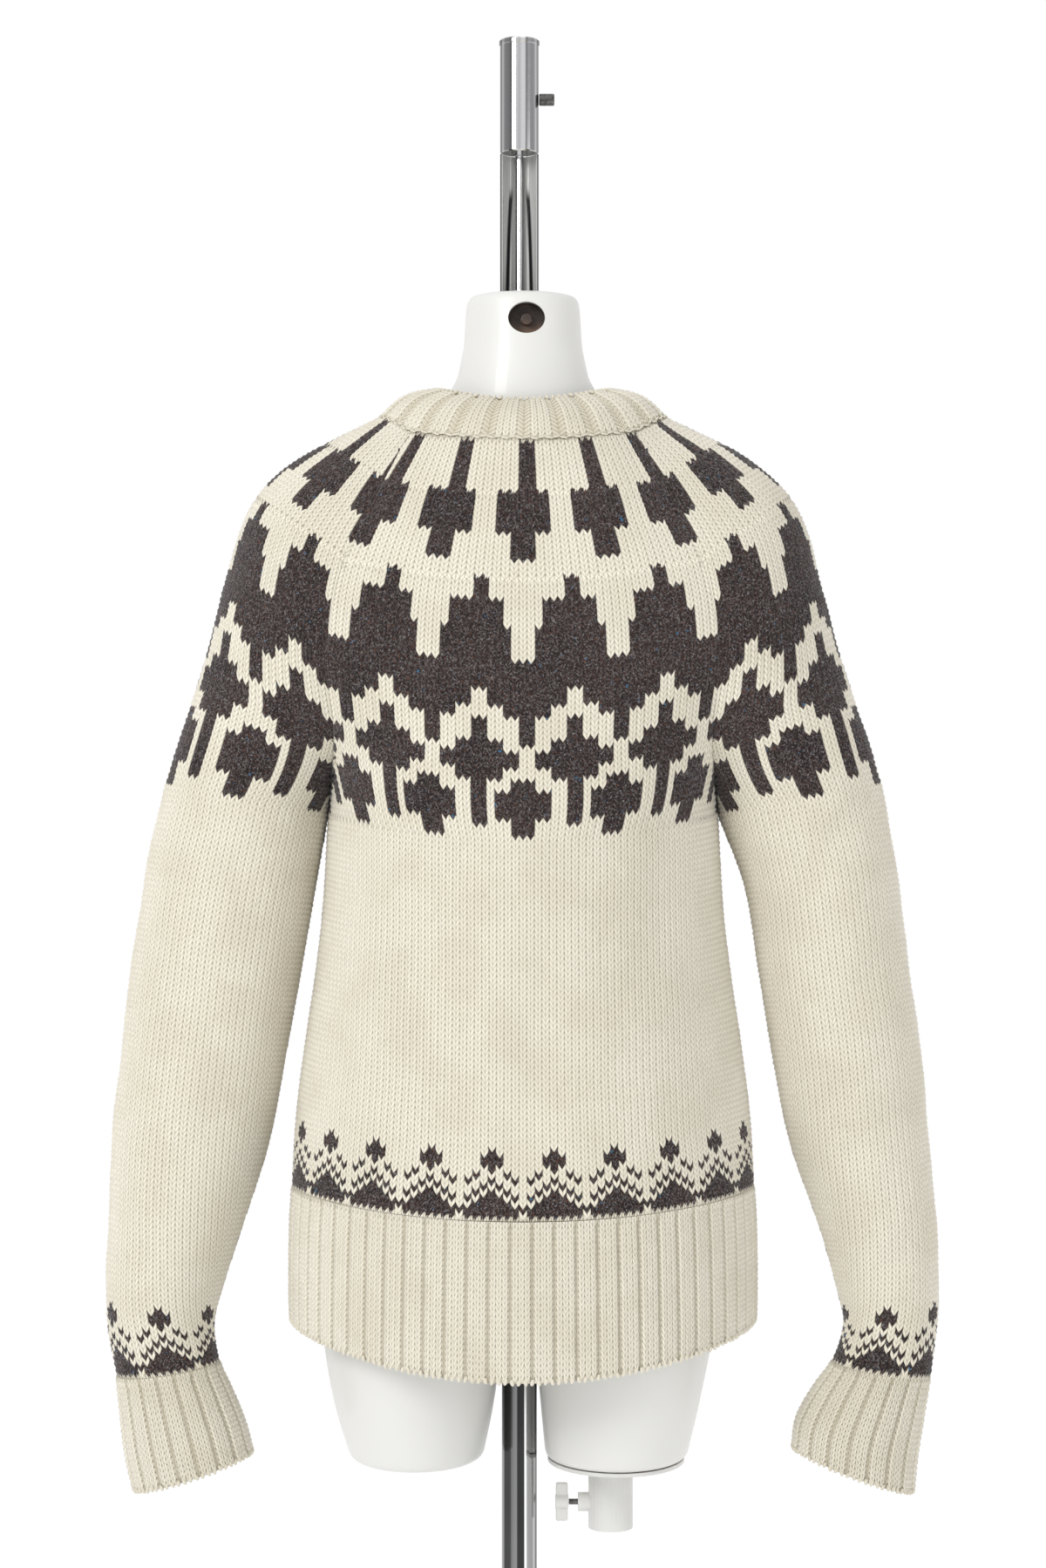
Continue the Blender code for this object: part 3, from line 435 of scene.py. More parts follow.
def sleeve_cloth(side):
    places = sleeve_chart_places()
    shares = np.interp(places, np.linspace(0, YOKE_COURSES, 2 * YOKE_COURSES + 1), course_shares())
    middle_phase = YOKE_REPEATS / 4
    rows, phases = [], []
    for share in shares:
        points = cap_ring(share, ACROSS, side)
        run = runs(points)
        panel = runs(panel_ring(share, ACROSS, False))[-1] / 2
        phase = ring_phase(share, run + panel, ring_length(share))
        middle = run[SAMPLES // 2]
        plain = middle_phase + (run - middle) / (BODY_REPEAT * SLEEVE_WALE)
        weight = min(share / PLAIN_SHARE, 1.0)
        rows.append(points)
        phases.append(phase * weight + plain * (1.0 - weight))
    closed_from = len(rows) - 1
    for z in np.linspace(SLEEVE_TOP_Z, CUFF_TOP_Z, 2 * SLEEVE_COURSES + 1)[1:]:
        points = sleeve_ring(z, ACROSS, side)
        run = runs(points)
        rows.append(points)
        phases.append(middle_phase + (run - run[SAMPLES // 2]) / (BODY_REPEAT * SLEEVE_WALE))
    points = np.array(rows)
    fade = 1.0 - ACROSS[None, :, None] ** 4
    out = sleeve_directions(points, side, closed_from)
    back = np.clip(0.3 - out[..., 1:2], 0.0, 1.0)
    depth = fold_depth(points, SLEEVE_FOLDS, side)[..., None] * back + wander(points, 2.1 * side)[..., None]
    points = points - out * depth * fade
    return Cloth(points, sleeve_directions(points, side, closed_from), np.array(phases))


def sleeve_directions(points, side, closed_from):
    """Outward directions of a sleeve, whose first and last columns are one line from the armpit down."""
    out = directions(points, side)
    around = np.concatenate([points[:, -2:-1], points, points[:, 1:2]], axis=1)
    out[closed_from:] = directions(around, side)[closed_from:, 1:-1]
    return out


def rib_phase(share_of_run, ribs, widths):
    """Place in the ribs, four columns of stitches a rib, for shares of the way along; widths are theirs."""
    edges = np.concatenate([[0.0], np.cumsum(widths)]) / sum(widths)
    place = share_of_run * ribs
    whole = np.floor(place)
    columns = np.interp(place - whole, edges, np.arange(len(widths) + 1))
    return whole + (columns - 0.5) / len(widths)


def hem_cloth(front):
    rows, phases = [], []
    for z in np.linspace(RIB_TOP_Z - 0.0003, HEM_Z, 2 * HEM_COURSES + 1):
        points = body_ring(z, ACROSS_FINE, front)
        run = runs(points)
        rows.append(points)
        phases.append(rib_phase(run / run[-1], HEM_RIBS, HEM_COLUMNS))
    points = np.array(rows)
    facing = -1 if front else 1
    out = directions(points, facing)
    points = points + out * RIB_LIFT
    return Cloth(points, out, np.array(phases))


def cuff_cloth(side):
    table = RIGHT_SLEEVE if side > 0 else LEFT_SLEEVE
    rows, phases = [], []
    for z in np.linspace(CUFF_TOP_Z, table[0].z, 2 * CUFF_COURSES + 1):
        points = sleeve_ring(z, ACROSS_FINE, side)
        run = runs(points)
        rows.append(points)
        phases.append(rib_phase(run / run[-1], CUFF_RIBS, CUFF_COLUMNS))
    points = np.array(rows)
    out = sleeve_directions(points, side, 0)
    points = points + out * RIB_LIFT
    return Cloth(points, out, np.array(phases))


def band_top(turns):
    z = BAND_TOP_BACK_Z + (BAND_TOP_SIDE_Z - BAND_TOP_BACK_Z) * np.sin(turns) ** 2
    front_z = BAND_TOP_FRONT_Z + (BAND_TOP_SIDE_Z - BAND_TOP_FRONT_Z) * np.sin(turns) ** 2
    z = np.where(np.cos(turns) < 0.0, front_z, z)
    return np.stack([BAND_TOP_HALF_WIDTH * np.sin(turns), -BAND_TOP_HALF_DEPTH * np.cos(turns), z], axis=-1)


def band_cloth():
    """The neckband, from its upper edge down to its seam; it starts and ends at the left shoulder."""
    turns = -math.pi / 2 + 2 * math.pi * np.linspace(0.0, 1.0, len(ACROSS_FINE))
    seam, top = neck_seam(turns), band_top(turns)
    level = unit(np.stack([np.sin(turns), -np.cos(turns), np.zeros(len(turns))], axis=-1))
    rise = unit(top - seam)
    square = unit(level - rise * np.sum(level * rise, axis=-1, keepdims=True))
    rows, phases = [], []
    for down in np.linspace(0.0, 1.0, 2 * BAND_COURSES + 1):
        bulge = BAND_BULGE * math.sin(math.pi * down) + RIB_LIFT
        points = seam * down + top * (1.0 - down) + square * bulge
        run = runs(points)
        rows.append(points)
        phases.append(rib_phase(run / run[-1], NECK_RIBS, BAND_COLUMNS))
    points = np.array(rows)
    around = np.concatenate([points[:, -2:-1], points, points[:, 1:2]], axis=1)
    return Cloth(points, directions(around, 1)[:, 1:-1], np.array(phases))


# Knitted faces


def chart_rows():
    """The yoke's chart, one string for each course."""
    return [repeat for courses, repeat in YOKE_CHART for course in range(courses)]


def charted(rows, course, phase):
    """Whether a stitch is of dark yarn. The middle of a row's string is at phase 0."""
    repeat = rows[course]
    wale = math.floor(phase * len(repeat) + 0.5)
    return repeat[(wale + len(repeat) // 2) % len(repeat)] == "X"


def sampled(cloth, levels, phases):
    """Points and outward directions at levels, which are half courses, and phases, and which lie inside."""
    heights, index = np.unique(levels, return_inverse=True)
    index = index.reshape(levels.shape)
    points = np.zeros((len(heights), len(phases), 3))
    out = np.zeros_like(points)
    inside = np.zeros(points.shape[:2], bool)
    for place, row in enumerate(heights):
        edge = cloth.phases[row]
        for axis in range(3):
            points[place, :, axis] = np.interp(phases, edge, cloth.points[row, :, axis])
            out[place, :, axis] = np.interp(phases, edge, cloth.out[row, :, axis])
        margin = EDGE_MARGIN * (edge[-1] - edge[0])
        inside[place] = (phases > edge[0] + margin) & (phases < edge[-1] - margin)
    columns = np.arange(len(phases))[None, :]
    return points[index, columns], unit(out[index, columns]), inside[index, columns]


def whole_faces(free, top_rows, bottom_rows):
    """Which faces of a lattice have four free corners, without islands or corners that only touch."""
    faces = free[:-1, :-1] & free[1:, :-1] & free[:-1, 1:] & free[1:, 1:]
    rows = range(top_rows, len(faces) - bottom_rows)
    for row in rows:
        line = np.flatnonzero(faces[row])
        middle = line[len(line) // 2]
        gaps = np.flatnonzero(~faces[row])
        before, after = gaps[gaps < middle], gaps[gaps > middle]
        if len(before):
            faces[row, : before[-1] + 1] = False
        if len(after):
            faces[row, after[0] :] = False
    for row in range(top_rows - 1, -1, -1):
        faces[row] &= faces[row + 1]
    for row in range(len(faces) - bottom_rows, len(faces)):
        faces[row] &= faces[row - 1]
    return faces


def border_loop(faces):
    """The closed row of point numbers along the open border of some faces."""
    edges = set()
    for face in faces:
        edges.update(zip(face, face[1:] + face[:1]))
    after = {start: end for start, end in edges if (end, start) not in edges}
    start = min(after)
    loop = [start]
    while after[loop[-1]] != start:
        loop.append(after[loop[-1]])
    if len(loop) != len(after):
        raise ValueError("the knitting has loose faces")
    return loop


def border_sides(loop, numbers):
    """A border loop cut at its four corners: the left side down, the bottom, the right side up, the top."""
    rows = {int(number): spot for spot, number in np.ndenumerate(numbers) if number >= 0}
    first, last = min(rows[number][0] for number in loop), max(rows[number][0] for number in loop)
    high = [number for number in loop if rows[number][0] == first]
    low = [number for number in loop if rows[number][0] == last]
    corners = (
        min(high, key=lambda number: rows[number][1]),
        min(low, key=lambda number: rows[number][1]),
        max(low, key=lambda number: rows[number][1]),
        max(high, key=lambda number: rows[number][1]),
    )
    turn = loop.index(corners[0])
    loop = loop[turn:] + loop[: turn + 1]
    cuts = [0] + [loop.index(corner) for corner in corners[1:]] + [len(loop) - 1]
    return [loop[start : stop + 1] for start, stop in zip(cuts, cuts[1:])]


def stitch_place(spot, per_repeat):
    """Where a spot lies in the lattice of stitches: wales to the right and courses down."""
    u = per_repeat * spot[0] + 0.5
    lean = 2.0 * abs(2.0 * (u - math.floor(u)) - 1.0)
    return u, (spot[1] + lean) / 2.0


class Knitting:
    """One closed piece of knitting: stitches outside, a plain inside and a rim."""

    def __init__(self, cloth, flip, closed_from=None):
        self.cloth = cloth
        self.handed = -1.0 if flip else 1.0
        self.points = np.zeros((0, 3))
        self.outs = np.zeros((0, 3))
        self.spots = np.zeros((0, 2))
        self.faces, self.places, self.tints = [], [], []
        levels = np.arange(len(cloth.points))
        self.left = self.add(cloth.points[:, 0], cloth.phases[:, 0], levels, cloth.out[:, 0])
        self.right = self.add(cloth.points[:, -1], cloth.phases[:, -1], levels, cloth.out[:, -1])
        self.closed_from = len(self.left) if closed_from is None else closed_from
        self.right[self.closed_from :] = self.left[self.closed_from :]
        self.top = self.bottom = None

    def add(self, points, phases, levels, out=None):
        """Adds points and returns their numbers. Their spots are their phases and levels."""
        start = len(self.points)
        points = points.reshape(-1, 3)
        out = np.zeros_like(points) if out is None else out.reshape(-1, 3)
        self.outs = np.concatenate([self.outs, out])
        spots = np.stack([np.broadcast_to(phases, levels.shape).ravel(), levels.ravel()], axis=-1)
        self.points = np.concatenate([self.points, points])
        self.spots = np.concatenate([self.spots, spots])
        return list(range(start, len(self.points)))

    def cross_row(self, level, quarters, per_repeat, shape):
        """Numbers of the points along one half course, from edge to edge."""
        phases = (quarters / 4 - 0.5) / per_repeat
        levels = np.full((1, len(quarters)), level)
        points, out, inside = sampled(self.cloth, levels, phases)
        points = points + out * RELIEF.mean()
        if shape is not None:
            points = points + out * shape(quarters, levels)[..., None]
        kept = inside[0]
        middle = self.add(points[0][kept], phases[kept], levels[0][kept], out[0][kept])
        return [self.left[level]] + middle + [self.right[level]]

    def strip(self, first, last, per_repeat, is_dark, shape=None, seed=0):
        """The courses from first to last, all of one stitch count a repeat.

        is_dark(course, phase) picks the yarn. shape(quarters, levels) gives what a rib adds to the relief.
        """
        low, high = 2 * first, 2 * last
        rows = np.arange(low + 1, high + 2)
        span = self.cloth.phases[low : high + 1]
        start = 4 * math.floor(per_repeat * span.min() + 0.5)
        stop = 4 * math.ceil(per_repeat * span.max() + 0.5)
        quarters = np.arange(start, stop + 1)
        phases = (quarters / 4 - 0.5) / per_repeat
        exact = rows[:, None] - LEAN[quarters % 4][None, :]
        levels = np.clip(exact, low, high)
        points, out, inside = sampled(self.cloth, levels, phases)
        free = inside & (levels == exact) & (levels > low) & (levels < high)
        relief = RELIEF[(rows % 2)[:, None], (quarters % 4)[None, :]]
        relief = relief + np.random.default_rng(seed).normal(0.0, UNEVEN, relief.shape)
        if shape is not None:
            relief = relief + shape(quarters, levels)
        kept = whole_faces(free, 2, 2)
        used = np.zeros(free.shape, bool)
        for down in (0, 1):
            for over in (0, 1):
                used[down : down + kept.shape[0], over : over + kept.shape[1]] |= kept
        numbers = np.full(free.shape, -1)
        placed = (points + out * relief[..., None])[used]
        numbers[used] = self.add(placed, np.broadcast_to(phases, free.shape)[used], levels[used], out[used])
        corners = (numbers[:-1, :-1], numbers[1:, :-1], numbers[1:, 1:], numbers[:-1, 1:])
        faces = np.stack(corners, axis=-1)[kept].tolist()
        u, v = np.meshgrid(quarters / 4.0, -rows / 2.0)
        place = np.stack([u, v], axis=-1)
        places = np.stack([place[:-1, :-1], place[1:, :-1], place[1:, 1:], place[:-1, 1:]], axis=2)
        courses = rows[:-1] // 2
        middles = phases[:-1] + 0.125 / per_repeat
        dark = np.array([[is_dark(course, phase) for phase in middles] for course in courses])
        self.faces += faces
        self.places += places[kept].tolist()
        self.tints += dark[kept].astype(int).tolist()

        if self.bottom is None:
            self.top = self.bottom = self.cross_row(low, quarters, per_repeat, shape)
        above = self.bottom
        self.bottom = self.cross_row(high, quarters, per_repeat, shape)
        sides = (
            (self.left[low : high + 1], 1, 1),
            (self.bottom, 0, 1),
            (self.right[low : high + 1][::-1], 1, -1),
            (above[::-1], 0, -1),
        )
        for part, (outline, axis, sign) in zip(border_sides(border_loop(faces), numbers), sides):
            for triangle in self.joined(part, outline, axis, sign):
                spots = [self.spots[corner] for corner in triangle]
                middle = np.mean(spots, axis=0)
                course = int(stitch_place(middle, per_repeat)[1])
                corners = [stitch_place(spot, per_repeat) for spot in spots]
                self.faces.append(list(triangle))
                self.places.append([[u, -v] for u, v in corners])
                self.tints.append(int(is_dark(course, middle[0])))

    def joined(self, upper, lower, axis, sign, outside=True):
        """Triangles between two rows of points that run along the phases, axis 0, or the levels, axis 1.

        Along the phases the points are taken in order. Along the levels neither row gets far ahead: of two
        triangles, one that faces out goes first, then the one with the shorter new edge.
        """
        slack = (0.0, 2.5)[axis]
        rows = []
        for numbers in (upper, lower):
            keys = sign * self.spots[numbers, axis]
            keys[0] = -np.inf
            rows.append(np.maximum.accumulate(keys))
        upper_keys, lower_keys = rows
        faces = []
        a, b = 0, 0
        while a < len(upper) - 1 or b < len(lower) - 1:
            if a == len(upper) - 1:
                step_up = False
            elif b == len(lower) - 1:
                step_up = True
            else:
                ahead = upper_keys[a + 1] - lower_keys[b + 1]
                if abs(ahead) >= slack:
                    step_up = ahead <= 0
                else:
                    by_upper = outside and self.faces_out(upper[a], lower[b], upper[a + 1])
                    by_lower = outside and self.faces_out(upper[a], lower[b], lower[b + 1])
                    if by_upper != by_lower:
                        step_up = by_upper
                    else:
                        step_up = self.apart(upper[a + 1], lower[b]) <= self.apart(upper[a], lower[b + 1])
            if step_up:
                faces.append((upper[a], lower[b], upper[a + 1]))
                a += 1
            else:
                faces.append((upper[a], lower[b], lower[b + 1]))
                b += 1
        return faces

    def apart(self, one, other):
        step = self.points[one] - self.points[other]
        return float(step @ step)

    def faces_out(self, a, b, c):
        ax, ay, az = self.points[a]
        ux, uy, uz = self.points[b] - (ax, ay, az)
        vx, vy, vz = self.points[c] - (ax, ay, az)
        out = self.outs[a] + self.outs[b] + self.outs[c]
        turned = out[0] * (uy * vz - uz * vy) + out[1] * (uz * vx - ux * vz) + out[2] * (ux * vy - uy * vx)
        return bool(turned * self.handed > 0)

    def loops(self, centres, long_axes, out, length, radius):
        """Adds a small closed loop of yarn at each centre."""
        rings, around = 5, 6
        for centre, long_axis, outward in zip(centres, unit(long_axes), unit(out)):
            side = np.cross(long_axis, outward)
            ends = np.array([centre - long_axis * length / 2, centre + long_axis * length / 2])
            tips = self.add(ends, 0.0, np.zeros(2))
            shell = []
            for ring in range(1, rings):
                turn = math.pi * ring / rings
                angles = 2 * math.pi * np.arange(around) / around
                spread = np.cos(angles)[:, None] * side + np.sin(angles)[:, None] * outward
                points = centre - long_axis * math.cos(turn) * length / 2 + spread * math.sin(turn) * radius
                shell.append(self.add(points, 0.0, np.zeros(around)))
            for step in range(around):
                after = (step + 1) % around
                self.plain_faces([(tips[0], shell[0][step], shell[0][after])])
                self.plain_faces([(tips[1], shell[-1][after], shell[-1][step])])
                for low, high in zip(shell, shell[1:]):
                    self.plain_faces([(low[step], high[step], high[after], low[after])])

    def plain_faces(self, faces):
        self.faces += [list(face) for face in faces]
        self.places += [[PLAIN_PLACE] * len(face) for face in faces]
        self.tints += [0] * len(faces)

    def close(self, wall, columns):
        """Adds the plain inside, which has few faces, and the rim."""
        cloth, closed = self.cloth, self.closed_from
        last = len(cloth.points) - 1
        rows = set(np.linspace(0, last, last // 5 + 2).astype(int).tolist())
        if closed < last:
            rows.add(closed)
        rows = sorted(rows)
        picks = np.linspace(0, cloth.points.shape[1] - 1, columns + 1).astype(int)
        grid = (cloth.points - cloth.out * wall)[rows][:, picks]
        levels = np.repeat(np.array(rows)[:, None], len(picks), axis=1)
        numbers = np.array(self.add(grid, cloth.phases[rows][:, picks], levels)).reshape(levels.shape)
        for place, row in enumerate(rows):
            if row >= closed:
                numbers[place, -1] = numbers[place, 0]
        corners = (numbers[:-1, 1:], numbers[1:, 1:], numbers[1:, :-1], numbers[:-1, :-1])
        self.plain_faces(np.stack(corners, axis=-1).reshape(-1, 4).tolist())
        self.rim(self.top, numbers[0], 0, -1)
        self.rim(self.bottom, numbers[-1], 0, 1)
        stop = min(closed, last)
        if stop:
            until = [place for place, row in enumerate(rows) if row <= stop]
            self.rim(self.left[: stop + 1], numbers[until, 0], 1, 1)
            self.rim(self.right[: stop + 1], numbers[until, -1], 1, -1)

    def rim(self, outer, inner, axis, sign):
        inner = inner.tolist()
        self.plain_faces(self.joined(outer[::sign], inner[::sign], axis, sign, outside=False))

    def made(self, name, materials):
        faces, places = self.faces, self.places
        if self.handed < 0:
            faces = [face[::-1] for face in faces]
            places = [place[::-1] for place in places]
        mesh = bpy.data.meshes.new(name)
        mesh.from_pydata(self.points.tolist(), [], faces)
        mesh.polygons.foreach_set("material_index", self.tints)
        layer = mesh.uv_layers.new(name="stitches")
        flat = [value for place in places for corner in place for value in corner]
        layer.data.foreach_set("uv", np.array(flat, np.float32))
        mesh.shade_smooth()
        for material in materials:
            mesh.materials.append(material)
        mesh.update()
        thing = bpy.data.objects.new(name, mesh)
        bpy.context.collection.objects.link(thing)
        remove_loose_points(mesh)
        return thing


def remove_loose_points(mesh):
    work = bmesh.new()
    work.from_mesh(mesh)
    loose = [vertex for vertex in work.verts if not vertex.link_faces]
    bmesh.ops.delete(work, geom=loose, context="VERTS")
    work.to_mesh(mesh)
    work.free()


def rib_shape(depth, joined, edge):
    """What a rib adds to the relief: the fourth column of stitches lies deep, and the open edge is round."""

    def shape(quarters, levels):
        turns = quarters.astype(int) % (4 * RIB_STITCHES)
        dips = np.array([PURL_QUARTERS.get(int(turn), 0.0) for turn in turns]) * depth
        fade = np.clip(np.abs(levels - joined) / 3.0, 0.0, 1.0)
        roll = EDGE_ROLL * np.clip(1.0 - np.abs(levels - edge) / 2.0, 0.0, 1.0) ** 2
        return dips[None, :] * fade - roll

    return shape


# Materials


def node(tree, kind, **values):
    """A new shader node with its values set; a value that is a socket is linked."""
    made = tree.nodes.new(kind)
    for name, value in values.items():
        if name.startswith("in_"):
            socket = made.inputs[name[3:].replace("_", " ")]
            if isinstance(value, bpy.types.NodeSocket):
                tree.links.new(value, socket)
            else:
                socket.default_value = value
        else:
            setattr(made, name, value)
    return made


def new_material(name, roughness, metallic=0.0, **inputs):
    material = bpy.data.materials.new(name)
    material.use_nodes = True
    shader = material.node_tree.nodes["Principled BSDF"]
    shader.inputs["Roughness"].default_value = roughness
    shader.inputs["Metallic"].default_value = metallic
    for key, value in inputs.items():
        shader.inputs[key.replace("_", " ")].default_value = value
    return material, material.node_tree, shader


def math_node(tree, operation, first, second=None, clamp=False):
    made = node(tree, "ShaderNodeMath", operation=operation, use_clamp=clamp)
    for index, value in enumerate((first, second)):
        if value is None:
            continue
        if isinstance(value, bpy.types.NodeSocket):
            tree.links.new(value, made.inputs[index])
        else:
            made.inputs[index].default_value = value
    return made.outputs[0]


def times(tree, first, second, **values):
    return math_node(tree, "MULTIPLY", first, second, **values)


def plus(tree, first, second, **values):
    return math_node(tree, "ADD", first, second, **values)


def minus(tree, first, second):
    return math_node(tree, "SUBTRACT", first, second)


def mixed(tree, share, first, second):
    made = node(tree, "ShaderNodeMix", data_type="RGBA")
    tree.links.new(share, made.inputs["Factor"])
    for key, value in ((6, first), (7, second)):
        if isinstance(value, bpy.types.NodeSocket):
            tree.links.new(value, made.inputs[key])
        else:
            made.inputs[key].default_value = (*value, 1.0)
    return made.outputs[2]


def stepped(tree, value, low, high):
    made = node(tree, "ShaderNodeMapRange", interpolation_type="SMOOTHSTEP")
    tree.links.new(value, made.inputs["Value"])
    made.inputs["From Min"].default_value = low
    made.inputs["From Max"].default_value = high
    return made.outputs["Result"]


def add_bump(tree, shader, height, strength, distance):
    bump = node(tree, "ShaderNodeBump", in_Height=height, in_Strength=strength, in_Distance=distance)
    tree.links.new(bump.outputs["Normal"], shader.inputs["Normal"])


def uneven_roughness(tree, shader, scale, detail, low, high):
    spread = node(tree, "ShaderNodeMapRange", in_Value=object_noise(tree, scale, detail))
    spread.inputs["To Min"].default_value = low
    spread.inputs["To Max"].default_value = high
    tree.links.new(spread.outputs["Result"], shader.inputs["Roughness"])


def stitch_gaps(tree):
    """How deep a point lies between the stitches' legs, for painted shade and bump, and a yarn's twist along
    them.
    """
    coordinates = node(tree, "ShaderNodeUVMap", uv_map="stitches").outputs["UV"]
    parts = node(tree, "ShaderNodeSeparateXYZ", in_Vector=coordinates)
    u, v = parts.outputs["X"], parts.outputs["Y"]
    across = math_node(tree, "FRACT", u)
    along = math_node(tree, "FRACT", v)
    from_middle = math_node(tree, "ABSOLUTE", minus(tree, across, 0.5))
    beside = stepped(tree, from_middle, 0.34, 0.5)
    middle = stepped(tree, from_middle, 0.13, 0.0)
    ends = stepped(tree, math_node(tree, "ABSOLUTE", minus(tree, along, 0.5)), 0.27, 0.5)
    deepest = times(tree, ends, beside)
    gap = times(tree, beside, 0.55)
    gap = plus(tree, gap, times(tree, ends, 0.55))
    gap = plus(tree, gap, times(tree, middle, 0.42))
    gap = plus(tree, gap, times(tree, deepest, 0.45), clamp=True)
    across_twist = times(tree, from_middle, 34.0)
    twist = plus(tree, across_twist, times(tree, along, 9.0))
    return gap, math_node(tree, "SINE", twist)


def object_noise(tree, scale, detail=2.0, roughness=0.5):
    where = node(tree, "ShaderNodeTexCoord").outputs["Object"]
    noise = node(tree, "ShaderNodeTexNoise", in_Vector=where, in_Scale=scale, in_Detail=detail)
    noise.inputs["Roughness"].default_value = roughness
    return noise.outputs["Fac"]


def yarn_noise(tree, along, across):
    """Noise that runs in streaks along the yarn, in the coordinates of the stitches."""
    coordinates = node(tree, "ShaderNodeUVMap", uv_map="stitches").outputs["UV"]
    scaled = node(tree, "ShaderNodeMapping", in_Vector=coordinates)
    scaled.inputs["Scale"].default_value = (along, across, 1.0)
    noise = node(tree, "ShaderNodeTexNoise", in_Vector=scaled.outputs["Vector"], in_Scale=1.0, in_Detail=2.0)
    return noise.outputs["Fac"]


def wool(name, light, shade, gap_shade_colour, gap_shade_amount):
    material, tree, shader = new_material(
        name, 0.92, Sheen_Weight=0.25, Sheen_Roughness=0.45, Specular_IOR_Level=0.25
    )
    gap, twist = stitch_gaps(tree)
    fibre = object_noise(tree, 1900.0, 3.0, 0.65)
    tone = object_noise(tree, 26.0, 3.0)
    colour = mixed(tree, stepped(tree, tone, 0.35, 0.70), light, shade)
    fuzzy = times(tree, stepped(tree, fibre, 0.42, 0.66), 0.30)
    colour = mixed(tree, fuzzy, colour, shade)
    # Painted shade between the legs of the stitches, where the yarn lies deep.
    colour = mixed(tree, times(tree, gap, gap_shade_amount), colour, gap_shade_colour)
    tree.links.new(colour, shader.inputs["Base Color"])
    rough = times(tree, fibre, 0.8)
    height = plus(tree, times(tree, twist, 0.20), rough)
    height = minus(tree, height, times(tree, gap, 0.9))
    add_bump(tree, shader, height, 0.55, 0.0006)
    return material, tree, shader, colour


def tweed(name):
    """Dark brown yarn with fine grey, rust and rare blue flecks."""
    # The last two values are the painted shade between the stitches' legs and how strong it is.
    material, tree, shader, colour = wool(
        name, (0.042, 0.027, 0.024), (0.021, 0.0135, 0.013), (0.005, 0.0035, 0.0035), 0.95
    )
    streaks = yarn_noise(tree, 2.4, 4.5)
    share = times(tree, stepped(tree, streaks, 0.55, 0.66), 0.64)
    colour = mixed(tree, share, colour, (0.235, 0.205, 0.192))
    flecks = (
        (700.0, 0.57, 0.68, (0.18, 0.165, 0.165), 0.60),
        (560.0, 0.64, 0.70, (0.115, 0.045, 0.026), 0.70),
        (820.0, 0.66, 0.71, (0.30, 0.30, 0.32), 0.70),
        (300.0, 0.745, 0.775, (0.04, 0.16, 0.30), 0.85),
    )
    for scale, low, high, tint, amount in flecks:
        share = stepped(tree, object_noise(tree, scale, 1.0), low, high)
        share = times(tree, share, amount)
        colour = mixed(tree, share, colour, tint)
    tree.links.new(colour, shader.inputs["Base Color"])
    return material


CREAM_LIGHT = (0.86, 0.815, 0.700)
CREAM_SHADE = (0.80, 0.750, 0.625)
# The gap colour is painted shade between the legs of the stitches.
CREAM_GAP_SHADE = (0.30, 0.265, 0.18)
# The groove colour is painted shade in a rib's groove.
CREAM_GROOVE_SHADE = (0.36, 0.305, 0.19)


def cream_wool(name, gap_shade_amount, columns=None, groove_shade=0.24):
    """Cream yarn; with columns, each fourth column of stitches is a rib's groove, which gets painted shade.
    """
    material, tree, shader, colour = wool(name, CREAM_LIGHT, CREAM_SHADE, CREAM_GAP_SHADE, gap_shade_amount)
    if columns:
        coordinates = node(tree, "ShaderNodeUVMap", uv_map="stitches").outputs["UV"]
        parts = node(tree, "ShaderNodeSeparateXYZ", in_Vector=coordinates).outputs
        place = math_node(tree, "FLOORED_MODULO", parts["X"], float(columns))
        from_groove = math_node(tree, "ABSOLUTE", minus(tree, place, columns - 0.5))
        # Painted shade down the groove, darker in bands between the strands that cross it.
        strands = math_node(tree, "SINE", times(tree, parts["Y"], 4.0 * math.pi))
        strands = stepped(tree, strands, 0.2, 0.9)
        share = stepped(tree, from_groove, 0.50, 0.25)
        ladder_shade = plus(tree, times(tree, strands, 0.45), groove_shade)
        share = times(tree, share, ladder_shade, clamp=True)
        colour = mixed(tree, share, colour, CREAM_GROOVE_SHADE)
        tree.links.new(colour, shader.inputs["Base Color"])
    return material


# Cloth pieces

BORDER_WIDTH = len(BORDER_CHART[0])


def border_dark(course, phase, shift):
    if not 0 <= course < len(BORDER_CHART):
        return False
    wale = math.floor(phase * len(YOKE_CHART[-1][1]) + 0.5)
    return BORDER_CHART[course][(wale + shift) % BORDER_WIDTH] == "X"


def knit_panel(cloth, front, seed):
    chart = chart_rows()
    total = YOKE_COURSES + BODY_COURSES

    def is_dark(course, phase):
        if course < YOKE_COURSES:
            return charted(chart, course, phase + (0.5 if front else 0.0))
        return border_dark(course - (total - len(BORDER_CHART)), phase, 7)

    knitting = Knitting(cloth, flip=front)
    for first, last, per_repeat in stitch_counts(chart, total):
        knitting.strip(first, last, per_repeat, is_dark, seed=seed + first)
    knitting.close(WALL, INNER_COLUMNS)
    return knitting


def stitch_counts(chart, total):
    """Stretches of courses with one stitch count a repeat: first course, last course and the count."""
    stretches = []
    first = 0
    for course in range(1, len(chart)):
        if len(chart[course]) != len(chart[course - 1]):
            stretches.append((first, course, len(chart[course - 1])))
            first = course
    stretches.append((first, total, len(chart[-1])))
    return stretches


